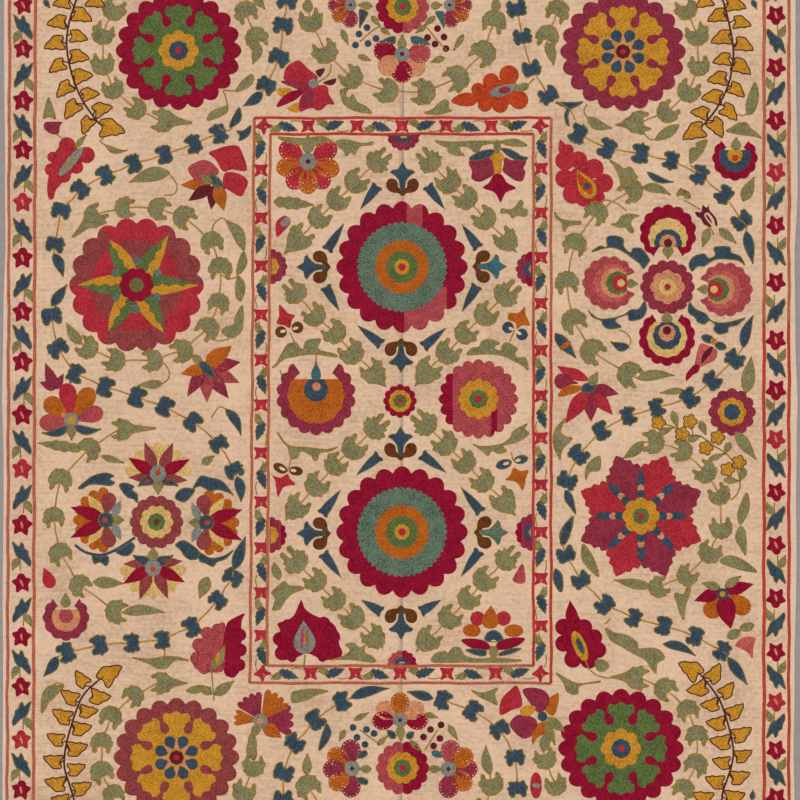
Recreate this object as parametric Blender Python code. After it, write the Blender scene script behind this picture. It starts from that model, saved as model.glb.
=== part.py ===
"""Embroidered wall cloth, sewn from two panels and laid flat with its face up.

The origin is the middle of the underside. +X runs across the cloth, +Y along it towards its
top end, and +Z out of its face. Sizes are in metres, and the tables are in millimetres.
"""
import math
from collections import namedtuple

import bpy

MM = 0.001

# The cloth
HALF_WIDTH = 0.796
HALF_LENGTH = 1.068
SHEET_THICKNESS = 0.0012
STITCH_HEIGHT = 0.0006
STITCH_ROOT = 0.0006
PANEL_GAP = 0.0003

# The seam leans a little: it lies right of the middle, and further right at the top end
SEAM_X_AT_MIDDLE = 0.006
SEAM_LEAN = 0.0025

# How far each side edge is drawn in from the half width, in mm, from the bottom end to the top
EDGE_STEP = 0.1
EDGE_FIRST_Y = -1.0
LEFT_DRAWN_IN = (2, 1, 1, 1, 2, 2, 1, 2, 3, 3, 0, 2, 3, 7, 6, 6, 5, 4, 4, 3, 4)
RIGHT_DRAWN_IN = (5, 6, 6, 8, 6, 6, 3, 2, 3, 2, 0, 4, 5, 6, 0, 0, 3, 4, 4, 5, 4)

# The ruled lines of stitching: the outer border's two lines and the inner panel's two lines
BORDER_LINE_WIDTH = 0.006
PANEL_LINE_WIDTH = 0.005
Rule = namedtuple("Rule", "name left_top left_foot right top foot width")
RULES = (
    Rule("border_outer", -0.780, -0.787, 0.778, 1.048, -1.048, BORDER_LINE_WIDTH),
    Rule("border_inner", -0.729, -0.734, 0.728, 0.996, -0.996, BORDER_LINE_WIDTH),
    Rule("panel_outer", -0.292, -0.300, 0.302, 0.564, -0.566, PANEL_LINE_WIDTH),
    Rule("panel_inner", -0.260, -0.266, 0.267, 0.532, -0.532, PANEL_LINE_WIDTH),
)

# The flowers that stand up most from the ground, in mm. The notch is the depth between two
# lobes as a share of the radius, and the turn is in degrees.
POINTS_PER_LOBE = 3
Flower = namedtuple("Flower", "name x y radius lobes notch turn")
FLOWERS = (
    Flower("medallion_upper", 4, 266, 132, 16, 0.10, 0),
    Flower("medallion_lower", 4, -264, 132, 16, 0.10, 0),
    Flower("corner_top_left", -444, 700, 126, 16, 0.06, 0),
    Flower("corner_top_right", 444, 700, 126, 16, 0.06, 0),
    Flower("corner_foot_left", -450, -714, 126, 16, 0.06, 0),
    Flower("corner_foot_right", 440, -696, 126, 16, 0.06, 0),
    Flower("star_rosette", -526, 232, 134, 12, 0.22, 0),
    Flower("petal_rosette", 480, -232, 124, 8, 0.22, 0),
    Flower("pomegranate", -168, 4, 78, 9, 0.10, 90),
    Flower("panel_rosette", 154, 6, 80, 12, 0.08, 0),
    Flower("panel_middle", 0, -2, 34, 8, 0.10, 0),
    Flower("left_group_middle", -488, -244, 54, 12, 0.08, 0),
    Flower("left_group_top", -484, -134, 52, 8, 0.16, 0),
    Flower("left_group_foot", -488, -352, 52, 8, 0.16, 0),
    Flower("left_group_left", -604, -240, 52, 8, 0.16, 0),
    Flower("left_group_right", -370, -240, 52, 8, 0.16, 0),
    Flower("right_group_middle", 536, 228, 54, 12, 0.08, 0),
    Flower("right_group_top", 536, 340, 56, 9, 0.12, 0),
    Flower("right_group_foot", 536, 116, 56, 9, 0.12, 0),
    Flower("right_group_left", 420, 234, 56, 9, 0.12, 0),
    Flower("right_group_right", 652, 220, 56, 9, 0.12, 0),
    Flower("left_small_flower", -668, -430, 46, 9, 0.12, 0),
    Flower("right_small_flower", 668, 490, 46, 9, 0.12, 0),
    Flower("right_small_rosette", 664, -22, 48, 10, 0.10, 0),
    Flower("top_cluster_middle", 4, 786, 56, 12, 0.10, 0),
    Flower("foot_cluster_middle", 4, -736, 56, 12, 0.10, 0),
)

LEFT_COTTON = (0.63, 0.44, 0.305)
RIGHT_COTTON = (0.665, 0.48, 0.34)
COTTON_ROUGHNESS = 0.9


def clear_scene():
    for item in list(bpy.data.objects):
        bpy.data.objects.remove(item, do_unlink=True)


def collection(name):
    made = bpy.data.collections.new(name)
    bpy.context.scene.collection.children.link(made)
    return made


def material(name, colour):
    made = bpy.data.materials.new(name)
    made.use_nodes = True
    shader = made.node_tree.nodes["Principled BSDF"]
    shader.inputs["Base Color"].default_value = (*colour, 1.0)
    shader.inputs["Roughness"].default_value = COTTON_ROUGHNESS
    shader.inputs["Metallic"].default_value = 0.0
    return made


def flat_shape(name, outlines, foot_z, top_z, home):
    """A flat solid between two heights. A second outline cuts its middle out."""
    curve = bpy.data.curves.new(name, "CURVE")
    curve.dimensions = "2D"
    curve.fill_mode = "BOTH"
    curve.extrude = (top_z - foot_z) / 2
    for outline in outlines:
        spline = curve.splines.new("POLY")
        spline.points.add(len(outline) - 1)
        for point, (x, y) in zip(spline.points, outline):
            point.co = (x, y, 0.0, 1.0)
        spline.use_cyclic_u = True
    drawn = bpy.data.objects.new(name + "_curve", curve)
    drawn.location.z = (top_z + foot_z) / 2
    bpy.context.scene.collection.objects.link(drawn)
    bpy.context.view_layer.update()
    mesh = bpy.data.meshes.new_from_object(drawn.evaluated_get(bpy.context.evaluated_depsgraph_get()))
    mesh.name = name
    made = bpy.data.objects.new(name, mesh)
    made.matrix_world = drawn.matrix_world
    bpy.data.objects.remove(drawn, do_unlink=True)
    home.objects.link(made)
    weld = made.modifiers.new("Weld", "WELD")
    weld.merge_threshold = 0.00001
    return made


def guide(made):
    made.hide_render = True
    made.display_type = "WIRE"
    return made


def cloth_outline():
    """The cloth's edge, anticlockwise, with its side edges as uneven as they hang by hand."""
    rows = [EDGE_FIRST_Y + EDGE_STEP * i for i in range(len(LEFT_DRAWN_IN))]
    right = [(HALF_WIDTH - inset * MM, y) for inset, y in zip(RIGHT_DRAWN_IN, rows)]
    left = [(inset * MM - HALF_WIDTH, y) for inset, y in zip(LEFT_DRAWN_IN, rows)]
    foot = [(left[0][0], -HALF_LENGTH), (right[0][0], -HALF_LENGTH)]
    head = [(right[-1][0], HALF_LENGTH), (left[-1][0], HALF_LENGTH)]
    return foot + right + head + left[::-1]


def flower_outline(flower):
    count = flower.lobes * POINTS_PER_LOBE
    points = []
    for i in range(count):
        angle = math.tau * i / count + math.radians(flower.turn)
        dip = abs(math.sin(math.pi * i / POINTS_PER_LOBE))
        radius = flower.radius * MM * (1 - flower.notch * (1 - dip))
        points.append((flower.x * MM + radius * math.cos(angle), flower.y * MM + radius * math.sin(angle)))
    return points


def rule_outlines(rule):
    """The outer and the inner edge of one ruled frame, which leans at its left side."""
    rings = []
    for side in (0.5, -0.5):
        out = rule.width * side
        rings.append((
            (rule.left_foot - out, rule.foot - out),
            (rule.right + out, rule.foot - out),
            (rule.right + out, rule.top + out),
            (rule.left_top - out, rule.top + out),
        ))
    return rings


def stitched_shapes(home):
    """The raised stitching, as flat shapes that start inside the sheet."""
    foot_z = SHEET_THICKNESS - STITCH_ROOT
    top_z = SHEET_THICKNESS + STITCH_HEIGHT
    for flower in FLOWERS:
        guide(flat_shape(flower.name, [flower_outline(flower)], foot_z, top_z, home))
    for rule in RULES:
        guide(flat_shape(rule.name, rule_outlines(rule), foot_z, top_z, home))


def seam_x(y):
    return SEAM_X_AT_MIDDLE + SEAM_LEAN * y


def panel_side(name, sign, home):
    """The block of space on one side of the seam, past the cloth's edges."""
    far = 2 * HALF_WIDTH * sign
    reach = 1.2 * HALF_LENGTH
    near = PANEL_GAP / 2 * sign
    outline = [
        (seam_x(-reach) + near, -reach),
        (far, -reach),
        (far, reach),
        (seam_x(reach) + near, reach),
    ]
    return guide(flat_shape(name, [outline[::int(sign)]], -SHEET_THICKNESS, 4 * SHEET_THICKNESS, home))


def panel(name, colour, sign, cloth, stitching, cutters):
    """One panel: the sheet with its raised stitching, cut off at the seam."""
    made = flat_shape(name, [cloth_outline()], 0.0, SHEET_THICKNESS, cloth)
    raised = made.modifiers.new("Raised stitching", "BOOLEAN")
    raised.operation = "UNION"
    raised.solver = "EXACT"
    raised.operand_type = "COLLECTION"
    raised.collection = stitching
    cut = made.modifiers.new("Seam", "BOOLEAN")
    cut.operation = "INTERSECT"
    cut.solver = "EXACT"
    cut.object = panel_side(name + "_side", sign, cutters)
    made.data.materials.clear()
    made.data.materials.append(material(name + "_cotton", colour))
    return made


def main():
    clear_scene()
    cloth = collection("embroidered_cloth")
    stitching = collection("stitching_shapes")
    cutters = collection("cutters")
    stitched_shapes(stitching)
    panel("left_panel", LEFT_COTTON, -1.0, cloth, stitching, cutters)
    panel("right_panel", RIGHT_COTTON, 1.0, cloth, stitching, cutters)


main()
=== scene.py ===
from collections import namedtuple
from math import atan2, ceil, cos, degrees, hypot, pi, radians, sin, tau

import bmesh
import bpy
from bpy.props import FloatProperty, FloatVectorProperty, PointerProperty
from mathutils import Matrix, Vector
from mathutils.geometry import delaunay_2d_cdt


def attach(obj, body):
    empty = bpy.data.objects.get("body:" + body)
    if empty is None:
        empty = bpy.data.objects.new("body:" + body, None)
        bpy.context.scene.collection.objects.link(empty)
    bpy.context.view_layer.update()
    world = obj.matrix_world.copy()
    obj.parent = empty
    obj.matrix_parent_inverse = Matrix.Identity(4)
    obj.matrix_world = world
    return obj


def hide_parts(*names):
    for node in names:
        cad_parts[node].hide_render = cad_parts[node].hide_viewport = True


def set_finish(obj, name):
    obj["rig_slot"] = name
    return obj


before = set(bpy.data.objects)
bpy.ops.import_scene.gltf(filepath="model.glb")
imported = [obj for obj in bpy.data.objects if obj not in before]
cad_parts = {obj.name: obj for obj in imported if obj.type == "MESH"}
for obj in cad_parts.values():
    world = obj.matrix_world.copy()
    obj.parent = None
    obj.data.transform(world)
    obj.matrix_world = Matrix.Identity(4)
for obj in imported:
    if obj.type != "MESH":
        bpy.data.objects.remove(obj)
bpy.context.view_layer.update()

bl_info = {
    "name": "Suzani embroidered textile",
    "version": (1, 0, 0),
    "blender": (4, 5, 0),
    "location": "View3D > Sidebar > Suzani",
    "description": "A flat embroidered cotton hanging of two joined panels, with its stitching in silk",
    "category": "Object",
}

# The cloth. Distances along the cloth in the tables below are in millimetres from its middle.
MM = 0.001
HALF_WIDTH = 0.796
HALF_LENGTH = 1.068
LEFT_DRAWN_IN = (2, 1, 1, 1, 2, 2, 1, 2, 3, 3, 0, 2, 3, 7, 6, 6, 5, 4, 4, 3, 4)
RIGHT_DRAWN_IN = (5, 6, 6, 8, 6, 6, 3, 2, 3, 2, 0, 4, 5, 6, 0, 0, 3, 4, 4, 5, 4)
EDGE_FIRST_Y = -1.0
EDGE_STEP = 0.1
SEAM_X_AT_MIDDLE = 0.006
SEAM_LEAN = 0.0025
PANEL_GAP = 0.0003
COLUMN_STEP = 0.012
ROW_STEP = 0.012
HEM_WIDTH = 0.012

# The stitching: how far each outline is chamfered in, and how deep its edge is sunk
CHAMFER = 0.45
SUNK = 0.25
INNER_STEP = 24.0
VINE_EDGE = 3.6
STEM_WIDTH = 3.8
LINE_STEP = 16.0
LINE_RISE = 0.2
LINE_FLAT = 0.62

Rule = namedtuple("Rule", "name left_top left_foot right top foot width")
RULES = (
    Rule("border_outer", -780, -787, 778, 1048, -1048, 7.5),
    Rule("border_inner", -729, -734, 728, 996, -996, 7.5),
    Rule("panel_outer", -292, -300, 302, 564, -566, 6.5),
    Rule("panel_inner", -260, -266, 267, 532, -532, 6.5),
)

# Silk colours: sRGB in 0 to 255, and how strongly the dye is mottled
Silk = namedtuple("Silk", "label red green blue mottle")
SILKS = {
    "crimson": Silk("Crimson", 127, 3, 35, 0.38),
    "plum": Silk("Plum", 126, 37, 53, 0.42),
    "dusk": Silk("Dusty plum", 127, 53, 52, 0.42),
    "red": Silk("Madder red", 156, 35, 45, 0.42),
    "pink": Silk("Faded pink", 151, 60, 63, 0.46),
    "rose": Silk("Pale rose", 168, 77, 70, 0.46),
    "maroon": Silk("Maroon", 86, 20, 30, 0.40),
    "orange": Silk("Orange", 160, 80, 17, 0.42),
    "coral": Silk("Orange red", 166, 57, 22, 0.40),
    "gold": Silk("Gold", 176, 121, 32, 0.42),
    "straw": Silk("Pale gold", 192, 156, 92, 0.36),
    "peach": Silk("Peach", 184, 120, 84, 0.40),
    "teal": Silk("Teal", 82, 98, 81, 0.56),
    "green": Silk("Leaf green", 78, 93, 47, 0.50),
    "olive": Silk("Olive", 117, 110, 76, 0.44),
    "ochre": Silk("Ochre outline", 136, 110, 46, 0.36),
    "stem": Silk("Stem ochre", 160, 120, 60, 0.32),
    "blue": Silk("Indigo blue", 48, 63, 76, 0.48),
    "sea": Silk("Sea blue", 50, 88, 97, 0.44),
    "moss": Silk("Dark moss outline", 98, 88, 50, 0.40),
    "grey": Silk("Blue grey", 116, 116, 106, 0.42),
    "brown": Silk("Brown", 88, 46, 14, 0.46),
    "bark": Silk("Dark stem brown", 72, 34, 26, 0.30),
    "cream": Silk("Cream", 214, 180, 138, 0.22),
    "line": Silk("Terracotta line", 166, 89, 64, 0.32),
    "redline": Silk("Red line", 168, 55, 42, 0.32),
}


def dye(name):
    """A colour setting for one silk, with its measured colour as the default."""
    silk = SILKS[name]
    return FloatVectorProperty(
        name=silk.label,
        description=f"Colour of the {silk.label.lower()} silk",
        subtype="COLOR_GAMMA",
        size=3,
        min=0.0,
        max=1.0,
        default=(silk.red / 255, silk.green / 255, silk.blue / 255),
    )


class SuzaniColours(bpy.types.PropertyGroup):
    """The colours of the silks."""

    __annotations__ = {name: dye(name) for name in SILKS}


class SuzaniSizes(bpy.types.PropertyGroup):
    """The sizes that a user would change."""

    stitch_height: FloatProperty(
        name="Stitch height",
        description="How far the lowest layer of stitching stands above the cotton",
        default=0.00042,
        min=0.0001,
        max=0.002,
        unit="LENGTH",
    )
    layer_height: FloatProperty(
        name="Layer height",
        description="How far each further colour stands above the one it lies on",
        default=0.00016,
        min=0.00005,
        max=0.001,
        unit="LENGTH",
    )
    relief: FloatProperty(
        name="Cloth relief",
        description="Half the height of the soft waves in which the cotton lies",
        default=0.00030,
        min=0.0,
        max=0.001,
        unit="LENGTH",
    )
    cloth_thickness: FloatProperty(
        name="Cotton thickness",
        description="Thickness of the woven cotton",
        default=0.0008,
        min=0.0004,
        max=0.002,
        unit="LENGTH",
    )
    silk_thread: FloatProperty(
        name="Laid thread",
        description="Spacing of the laid silk threads",
        default=0.0011,
        min=0.0003,
        max=0.004,
        unit="LENGTH",
    )
    tie_spacing: FloatProperty(
        name="Tie spacing",
        description="Spacing of the slanting stitches that tie the laid threads down",
        default=0.0046,
        min=0.001,
        max=0.02,
        unit="LENGTH",
    )
    cotton_light: FloatVectorProperty(
        name="Cotton",
        description="Colour of the cotton ground",
        subtype="COLOR_GAMMA",
        size=3,
        min=0.0,
        max=1.0,
        default=(211 / 255, 177 / 255, 147 / 255),
    )
    cotton_margin: FloatVectorProperty(
        name="Cotton margin",
        description="Colour of the paler cotton outside the border lines",
        subtype="COLOR_GAMMA",
        size=3,
        min=0.0,
        max=1.0,
        default=(219 / 255, 192 / 255, 171 / 255),
    )


def sizes():
    """The size settings of the scene."""
    return bpy.context.scene.suzani_sizes


def linear(colour):
    """A display colour from 0 to 1 as linear light."""
    return [c / 12.92 if c <= 0.04045 else ((c + 0.055) / 1.055) ** 2.4 for c in colour]


# Materials

def add_node(tree, kind, place, **values):
    """A shader node with its settings and unlinked inputs given."""
    node = tree.nodes.new(kind)
    node.location = place
    for name, value in values.items():
        if hasattr(node, name):
            setattr(node, name, value)
        else:
            node.inputs[name.replace("_", " ")].default_value = value
    return node


def math_node(tree, operation, first, second, place):
    """A math node between two sockets or numbers."""
    node = tree.nodes.new("ShaderNodeMath")
    node.operation = operation
    node.location = place
    for slot, value in zip(node.inputs, (first, second)):
        if isinstance(value, (int, float)):
            slot.default_value = value
        else:
            tree.links.new(value, slot)
    return node.outputs[0]


def ramp_between(tree, factor, colours, stops, place):
    """A colour ramp over a factor, with one linear colour for each stop."""
    ramp = add_node(tree, "ShaderNodeValToRGB", place)
    tree.links.new(factor, ramp.inputs[0])
    elements = ramp.color_ramp.elements
    while len(elements) < len(stops):
        elements.new(0.5)
    for element, colour, stop in zip(elements, colours, stops):
        element.position = stop
        element.color = (*colour, 1.0)
    return ramp.outputs[0]


def new_material(name, roughness, sheen):
    """An empty procedural material with its shader and object coordinates."""
    made = bpy.data.materials.new(name)
    made.use_nodes = True
    tree = made.node_tree
    shader = tree.nodes["Principled BSDF"]
    shader.inputs["Roughness"].default_value = roughness
    shader.inputs["Specular IOR Level"].default_value = 0.06
    shader.inputs["Sheen Weight"].default_value = sheen
    shader.inputs["Sheen Roughness"].default_value = 0.4
    coordinates = add_node(tree, "ShaderNodeTexCoord", (-1400, 0))
    return made, tree, shader, coordinates.outputs["Object"]


def bands(tree, where, spacing, turn, distortion, place):
    """Soft parallel bands at a spacing in metres, turned from the X axis."""
    turned = add_node(tree, "ShaderNodeMapping", (place[0] - 200, place[1]), vector_type="TEXTURE")
    turned.inputs["Rotation"].default_value = (0.0, 0.0, radians(turn))
    tree.links.new(where, turned.inputs["Vector"])
    wave = add_node(tree, "ShaderNodeTexWave", place, bands_direction="X")
    wave.inputs["Scale"].default_value = tau / 20 / spacing
    wave.inputs["Distortion"].default_value = distortion
    wave.inputs["Detail"].default_value = 2.0
    wave.inputs["Detail Scale"].default_value = 1.4
    tree.links.new(turned.outputs[0], wave.inputs["Vector"])
    return wave.outputs["Fac"]


def cloud(tree, where, scale, detail, place, stretch=(1.0, 1.0, 1.0)):
    """Soft noise at a scale per metre, stretched where threads run one way."""
    mapped = add_node(tree, "ShaderNodeMapping", (place[0] - 200, place[1]))
    mapped.inputs["Scale"].default_value = stretch
    tree.links.new(where, mapped.inputs["Vector"])
    noise = add_node(tree, "ShaderNodeTexNoise", place)
    noise.inputs["Scale"].default_value = scale
    noise.inputs["Detail"].default_value = detail
    noise.inputs["Roughness"].default_value = 0.6
    tree.links.new(mapped.outputs[0], noise.inputs["Vector"])
    return noise.outputs["Fac"]


def silk_material(name):
    """Laid silk threads with slanting ties, mottled in its dye."""
    made = bpy.data.materials.get(f"silk_{name}")
    if made:
        return made
    silk = SILKS[name]
    tint = linear(getattr(bpy.context.scene.suzani_colours, name))
    made, tree, shader, where = new_material(f"silk_{name}", 0.55, 0.02)
    threads = bands(tree, where, sizes().silk_thread, 0, 1.2, (-1000, 300))
    ties = bands(tree, where, sizes().tie_spacing, 62, 1.6, (-1000, 0))
    mottle = cloud(tree, where, 420.0, 3.0, (-1000, -300), (1.0, 0.7, 1.0))
    patch = cloud(tree, where, 34.0, 2.0, (-1000, -600))
    fine = math_node(tree, "MULTIPLY", threads, 0.16, (-700, 300))
    slant = math_node(tree, "MULTIPLY", ties, 0.13, (-700, 0))
    speck = math_node(tree, "MULTIPLY", mottle, 1.25, (-700, -300))
    drift = math_node(tree, "MULTIPLY", patch, 0.35, (-700, -600))
    both = math_node(tree, "ADD", fine, slant, (-500, 150))
    rest = math_node(tree, "ADD", speck, drift, (-500, -400))
    total = math_node(tree, "ADD", both, rest, (-300, 0))
    dark = [c * (1 - silk.mottle) for c in tint]
    light = [min(1.0, c * (1 + silk.mottle) + 0.012 * silk.mottle) for c in tint]
    colour = ramp_between(tree, total, (dark, tint, light), (0.66, 0.94, 1.22), (-100, 100))
    tree.links.new(colour, shader.inputs["Base Color"])
    relief = math_node(tree, "ADD", threads, math_node(tree, "MULTIPLY", ties, 1.3, (-500, -700)),
        (-300, -500))
    bump = add_node(tree, "ShaderNodeBump", (-100, -400), Strength=0.35, Distance=0.00035)
    tree.links.new(relief, bump.inputs["Height"])
    tree.links.new(bump.outputs[0], shader.inputs["Normal"])
    return made


def cotton_material():
    """Hand-woven cotton with its weave, slubs, faint stains and paler margins."""
    made = bpy.data.materials.get("woven_cotton")
    if made:
        return made
    tint = linear(sizes().cotton_light)
    pale = linear(sizes().cotton_margin)
    made, tree, shader, where = new_material("woven_cotton", 0.82, 0.04)
    across = bands(tree, where, 0.0016, 0, 2.2, (-1000, 500))
    along = bands(tree, where, 0.0018, 90, 2.2, (-1000, 250))
    slub = cloud(tree, where, 60.0, 2.0, (-1000, 0), (0.25, 3.0, 1.0))
    blotch = cloud(tree, where, 130.0, 3.0, (-1000, -250))
    stain = cloud(tree, where, 7.0, 3.0, (-1000, -500))
    weave = math_node(tree, "ADD", across, along, (-700, 400))
    total = math_node(tree, "MULTIPLY", weave, 0.08, (-500, 400))
    for level, (field, share) in enumerate(((slub, 0.36), (blotch, 0.62), (stain, 0.55))):
        part = math_node(tree, "MULTIPLY", field, share, (-700, 100 - 200 * level))
        total = math_node(tree, "ADD", total, part, (-400, 200 - 150 * level))
    dark = [tint[0] * 0.79, tint[1] * 0.73, tint[2] * 0.70]
    light = [min(1.0, c * 1.16) for c in tint]
    colour = ramp_between(tree, total, (dark, tint, light), (0.67, 0.84, 1.01), (-100, 300))
    split = add_node(tree, "ShaderNodeSeparateXYZ", (-1200, -900))
    tree.links.new(where, split.inputs[0])
    from_middle = math_node(tree, "ABSOLUTE", split.outputs["X"], 0.0, (-1000, -900))
    edge = add_node(tree, "ShaderNodeMapRange", (-800, -900))
    tree.links.new(from_middle, edge.inputs["Value"])
    for name, value in (("From Min", 0.774), ("From Max", 0.786), ("To Min", 0.0), ("To Max", 0.85)):
        edge.inputs[name].default_value = value
    margin = ramp_between(tree, total, ([c * 0.86 for c in pale], pale), (0.66, 0.96), (-100, 0))
    mix = add_node(tree, "ShaderNodeMix", (100, 200), data_type="RGBA")
    tree.links.new(edge.outputs[0], mix.inputs["Factor"])
    tree.links.new(colour, mix.inputs["A"])
    tree.links.new(margin, mix.inputs["B"])
    tree.links.new(mix.outputs["Result"], shader.inputs["Base Color"])
    bump = add_node(tree, "ShaderNodeBump", (-100, -400), Strength=0.3, Distance=0.0003)
    tree.links.new(weave, bump.inputs["Height"])
    tree.links.new(bump.outputs[0], shader.inputs["Normal"])
    return made


# Places on the cloth

def ground_rise(x, y):
    """Height of the cotton's upper face above the floor, in metres, at a place in metres."""
    waves = sin(17 * x + 5 * y + 0.6) + sin(23 * y - 9 * x + 1.9) + 0.6 * sin(29 * x + 33 * y + 4.1)
    return sizes().cloth_thickness + sizes().relief * (1.0 + waves / 2.6)


def edge_x(y, drawn_in, side):
    """X of a side edge at a height, in metres; side is -1 for the left and 1 for the right."""
    step = min(max((y - EDGE_FIRST_Y) / EDGE_STEP, 0.0), len(drawn_in) - 1.001)
    row = int(step)
    inset = drawn_in[row] + (drawn_in[row + 1] - drawn_in[row]) * (step - row)
    return side * (HALF_WIDTH - inset * MM)


# Outlines, in millimetres. A part is named by where it starts, where it ends and how wide it is.

def at(x, y, angle, distance):
    """The point at an angle in degrees and a distance from a place."""
    return (x + distance * cos(radians(angle)), y + distance * sin(radians(angle)))


def scallops(x, y, radius, lobes, depth=0.1, turn=0.0, each=6):
    """A disc with rounded lobes."""
    count = max(lobes * each, 16)
    made = []
    for i in range(count):
        angle = 360.0 * i / count
        swell = abs(cos(radians(lobes * (angle - turn) / 2)))
        made.append(at(x, y, angle, radius * (1 - depth + depth * swell ** 0.8)))
    return made


def horseshoe(x, y, radius, inner, lobes, opening, gap, depth=0.1):
    """A lobed ring left open towards one side, as its outer edge and then its inner one."""
    turn_round = 360.0 - 2 * gap
    outer_count, inner_count = lobes * 5, lobes * 2
    made = []
    for i in range(outer_count + 1):
        angle = opening + gap + turn_round * i / outer_count
        swell = abs(cos(radians(lobes * (angle - opening) / 2)))
        made.append(at(x, y, angle, radius * (1 - depth + depth * swell ** 0.8)))
    for i in range(inner_count + 1):
        made.append(at(x, y, opening - gap - turn_round * i / inner_count, inner))
    return made


FORMS = {
    "leaf": ((0, 0), (0.06, 0.42), (0.18, 0.82), (0.34, 1), (0.5, 0.94), (0.68, 0.7), (0.86, 0.32), (1, 0)),
    "drop": ((0, 0), (0.03, 0.42), (0.1, 0.74), (0.24, 0.98), (0.4, 1), (0.58, 0.8), (0.78, 0.42),
        (0.92, 0.14), (1, 0)),
    "petal": ((0, 0.1), (0.12, 0.3), (0.32, 0.64), (0.55, 0.96), (0.74, 1), (0.88, 0.78), (0.97, 0.4),
        (1, 0)),
    "round": ((0, 0.2), (0.14, 0.42), (0.28, 0.74), (0.42, 0.96), (0.58, 1), (0.74, 0.94), (0.87, 0.72),
        (0.96, 0.4), (1, 0)),
    "oval": ((0, 0), (0.05, 0.44), (0.15, 0.72), (0.32, 0.94), (0.5, 1), (0.68, 0.94), (0.85, 0.72),
        (0.95, 0.44), (1, 0)),
    "dart": ((0.05, 0), (0, 0.6), (0.04, 1), (0.14, 0.74), (0.3, 0.72), (0.45, 0.64), (0.62, 0.5),
        (0.8, 0.28),
             (0.92, 0.14), (1, 0)),
    "point": ((0, 0.3), (0.15, 0.7), (0.34, 0.96), (0.5, 0.9), (0.7, 0.6), (0.88, 0.24), (1, 0)),
    "ragged": ((0, 0), (0.06, 0.6), (0.15, 0.85), (0.24, 0.66), (0.36, 1), (0.48, 0.78), (0.58, 0.9),
        (0.7, 0.55),
               (0.8, 0.5), (0.9, 0.24), (1, 0)),
    "strip": ((0, 0.5), (0.2, 0.8), (0.5, 1), (0.8, 0.8), (1, 0.5)),
}


def part_outline(form, x0, y0, x1, y1, width, bend=0.0):
    """A leaf, petal or other long part from start to end, bent to its left by a share of its length."""
    profile = FORMS[form]
    length = hypot(x1 - x0, y1 - y0)
    ux, uy = (x1 - x0) / length, (y1 - y0) / length

    def place(t, side):
        across = side * width / 2 + bend * length * 4 * t * (1 - t)
        return (x0 + ux * t * length - uy * across, y0 + uy * t * length + ux * across)

    right = [place(t, -w) for t, w in profile]
    left = [place(t, w) for t, w in reversed(profile)]
    return right + left


def fan_outline(x0, y0, x1, y1, spread, lobes=5, depth=0.12):
    """A fan from its root, with a lobed outer edge; spread is its full angle in degrees."""
    middle = degrees(atan2(y1 - y0, x1 - x0))
    reach = hypot(x1 - x0, y1 - y0)
    made = [(x0, y0)]
    count = lobes * 6
    for i in range(count + 1):
        share = i / count
        swell = abs(sin(pi * lobes * share))
        made.append(at(x0, y0, middle + spread * (share - 0.5), reach * (1 - depth + depth * swell ** 0.7)))
    return made


# Half of a vine leaf, from the notch ahead round to the back: how far ahead and how far to the side
OLIVE_LEAF = ((9.5, 0), (11, 5), (13, 9.5), (19, 10.5), (24, 14.5), (18.5, 18.5), (12, 19), (9, 24),
    (1, 23), (-4, 20.5),
              (-9, 20.5), (-14, 16), (-18, 11), (-19.5, 4), (-20, 0))
BLUE_LEAF = ((10.5, 0), (11, 4.5), (15, 6.5), (18.5, 11), (15.5, 17), (8, 19), (3, 18.5), (-1, 21.5),
    (-6, 18),
             (-12, 17.5), (-16, 12), (-13.5, 6), (-15, 0))
FINGER_LEAF = ((8, 0), (14, 3), (26, 4), (30, 9), (25, 14), (15, 13), (13, 19), (7, 18), (3, 25), (-3, 22),
    (-9, 23),
               (-13, 17), (-19, 12), (-20, 4), (-20, 0))
LEAF_BACK = {"olive": 17.0, "blue": 12.5}


def vine_leaf(half, x, y, turn, size=1.0, tail=0.0):
    """A ragged leaf with two horns and a notch ahead, and maybe a pointed tail behind."""
    side = list(half)
    if tail:
        side = side[:-4] + [(-14, 17), (-24, 9.5), (-tail + 8, 3.5), (-tail, 0)]
    whole = side + [(u, -v) for u, v in side[-2:0:-1]]
    made = []
    for i, (u, v) in enumerate(whole):
        shift = 0.9 * sin(i * 2.3 + x * 0.9 + y * 0.4)
        made.append((u + shift, v * (1 + 0.05 * sin(i * 1.7 + x)) + 0.6 * sin(i * 3.1 + y)))
    return smooth_loop(moved(made, x, y, turn, size), 2)


def smooth_loop(points, each=4):
    """A closed curve through a few points."""
    count = len(points)
    made = []
    for i in range(count):
        a, b, c, d = (points[(i + k - 1) % count] for k in range(4))
        for step in range(each):
            t = step / each
            made.append(tuple(curve_between(a[k], b[k], c[k], d[k], t) for k in range(2)))
    return made


def smooth_path(points, each=4):
    """An open curve through a few points."""
    made = []
    last = len(points) - 1
    for i in range(last):
        a, b, c, d = (points[min(max(i + k - 1, 0), last)] for k in range(4))
        for step in range(each):
            t = step / each
            made.append(tuple(curve_between(a[k], b[k], c[k], d[k], t) for k in range(2)))
    return made + [points[-1]]


def curve_between(a, b, c, d, t):
    """A smooth value between b and c, with a and d as their neighbours."""
    return 0.5 * (2 * b + (c - a) * t + (2 * a - 5 * b + 4 * c - d) * t * t + (3 * b - a - 3 * c + d) * t ** 3)


def moved(points, x=0.0, y=0.0, turn=0.0, scale=1.0, flip=1):
    """Points flipped across their own axis, scaled, turned and moved."""
    c, s = cos(radians(turn)) * scale, sin(radians(turn)) * scale
    made = [(x + c * px - s * py * flip, y + s * px + c * py * flip) for px, py in points]
    return made


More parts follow.
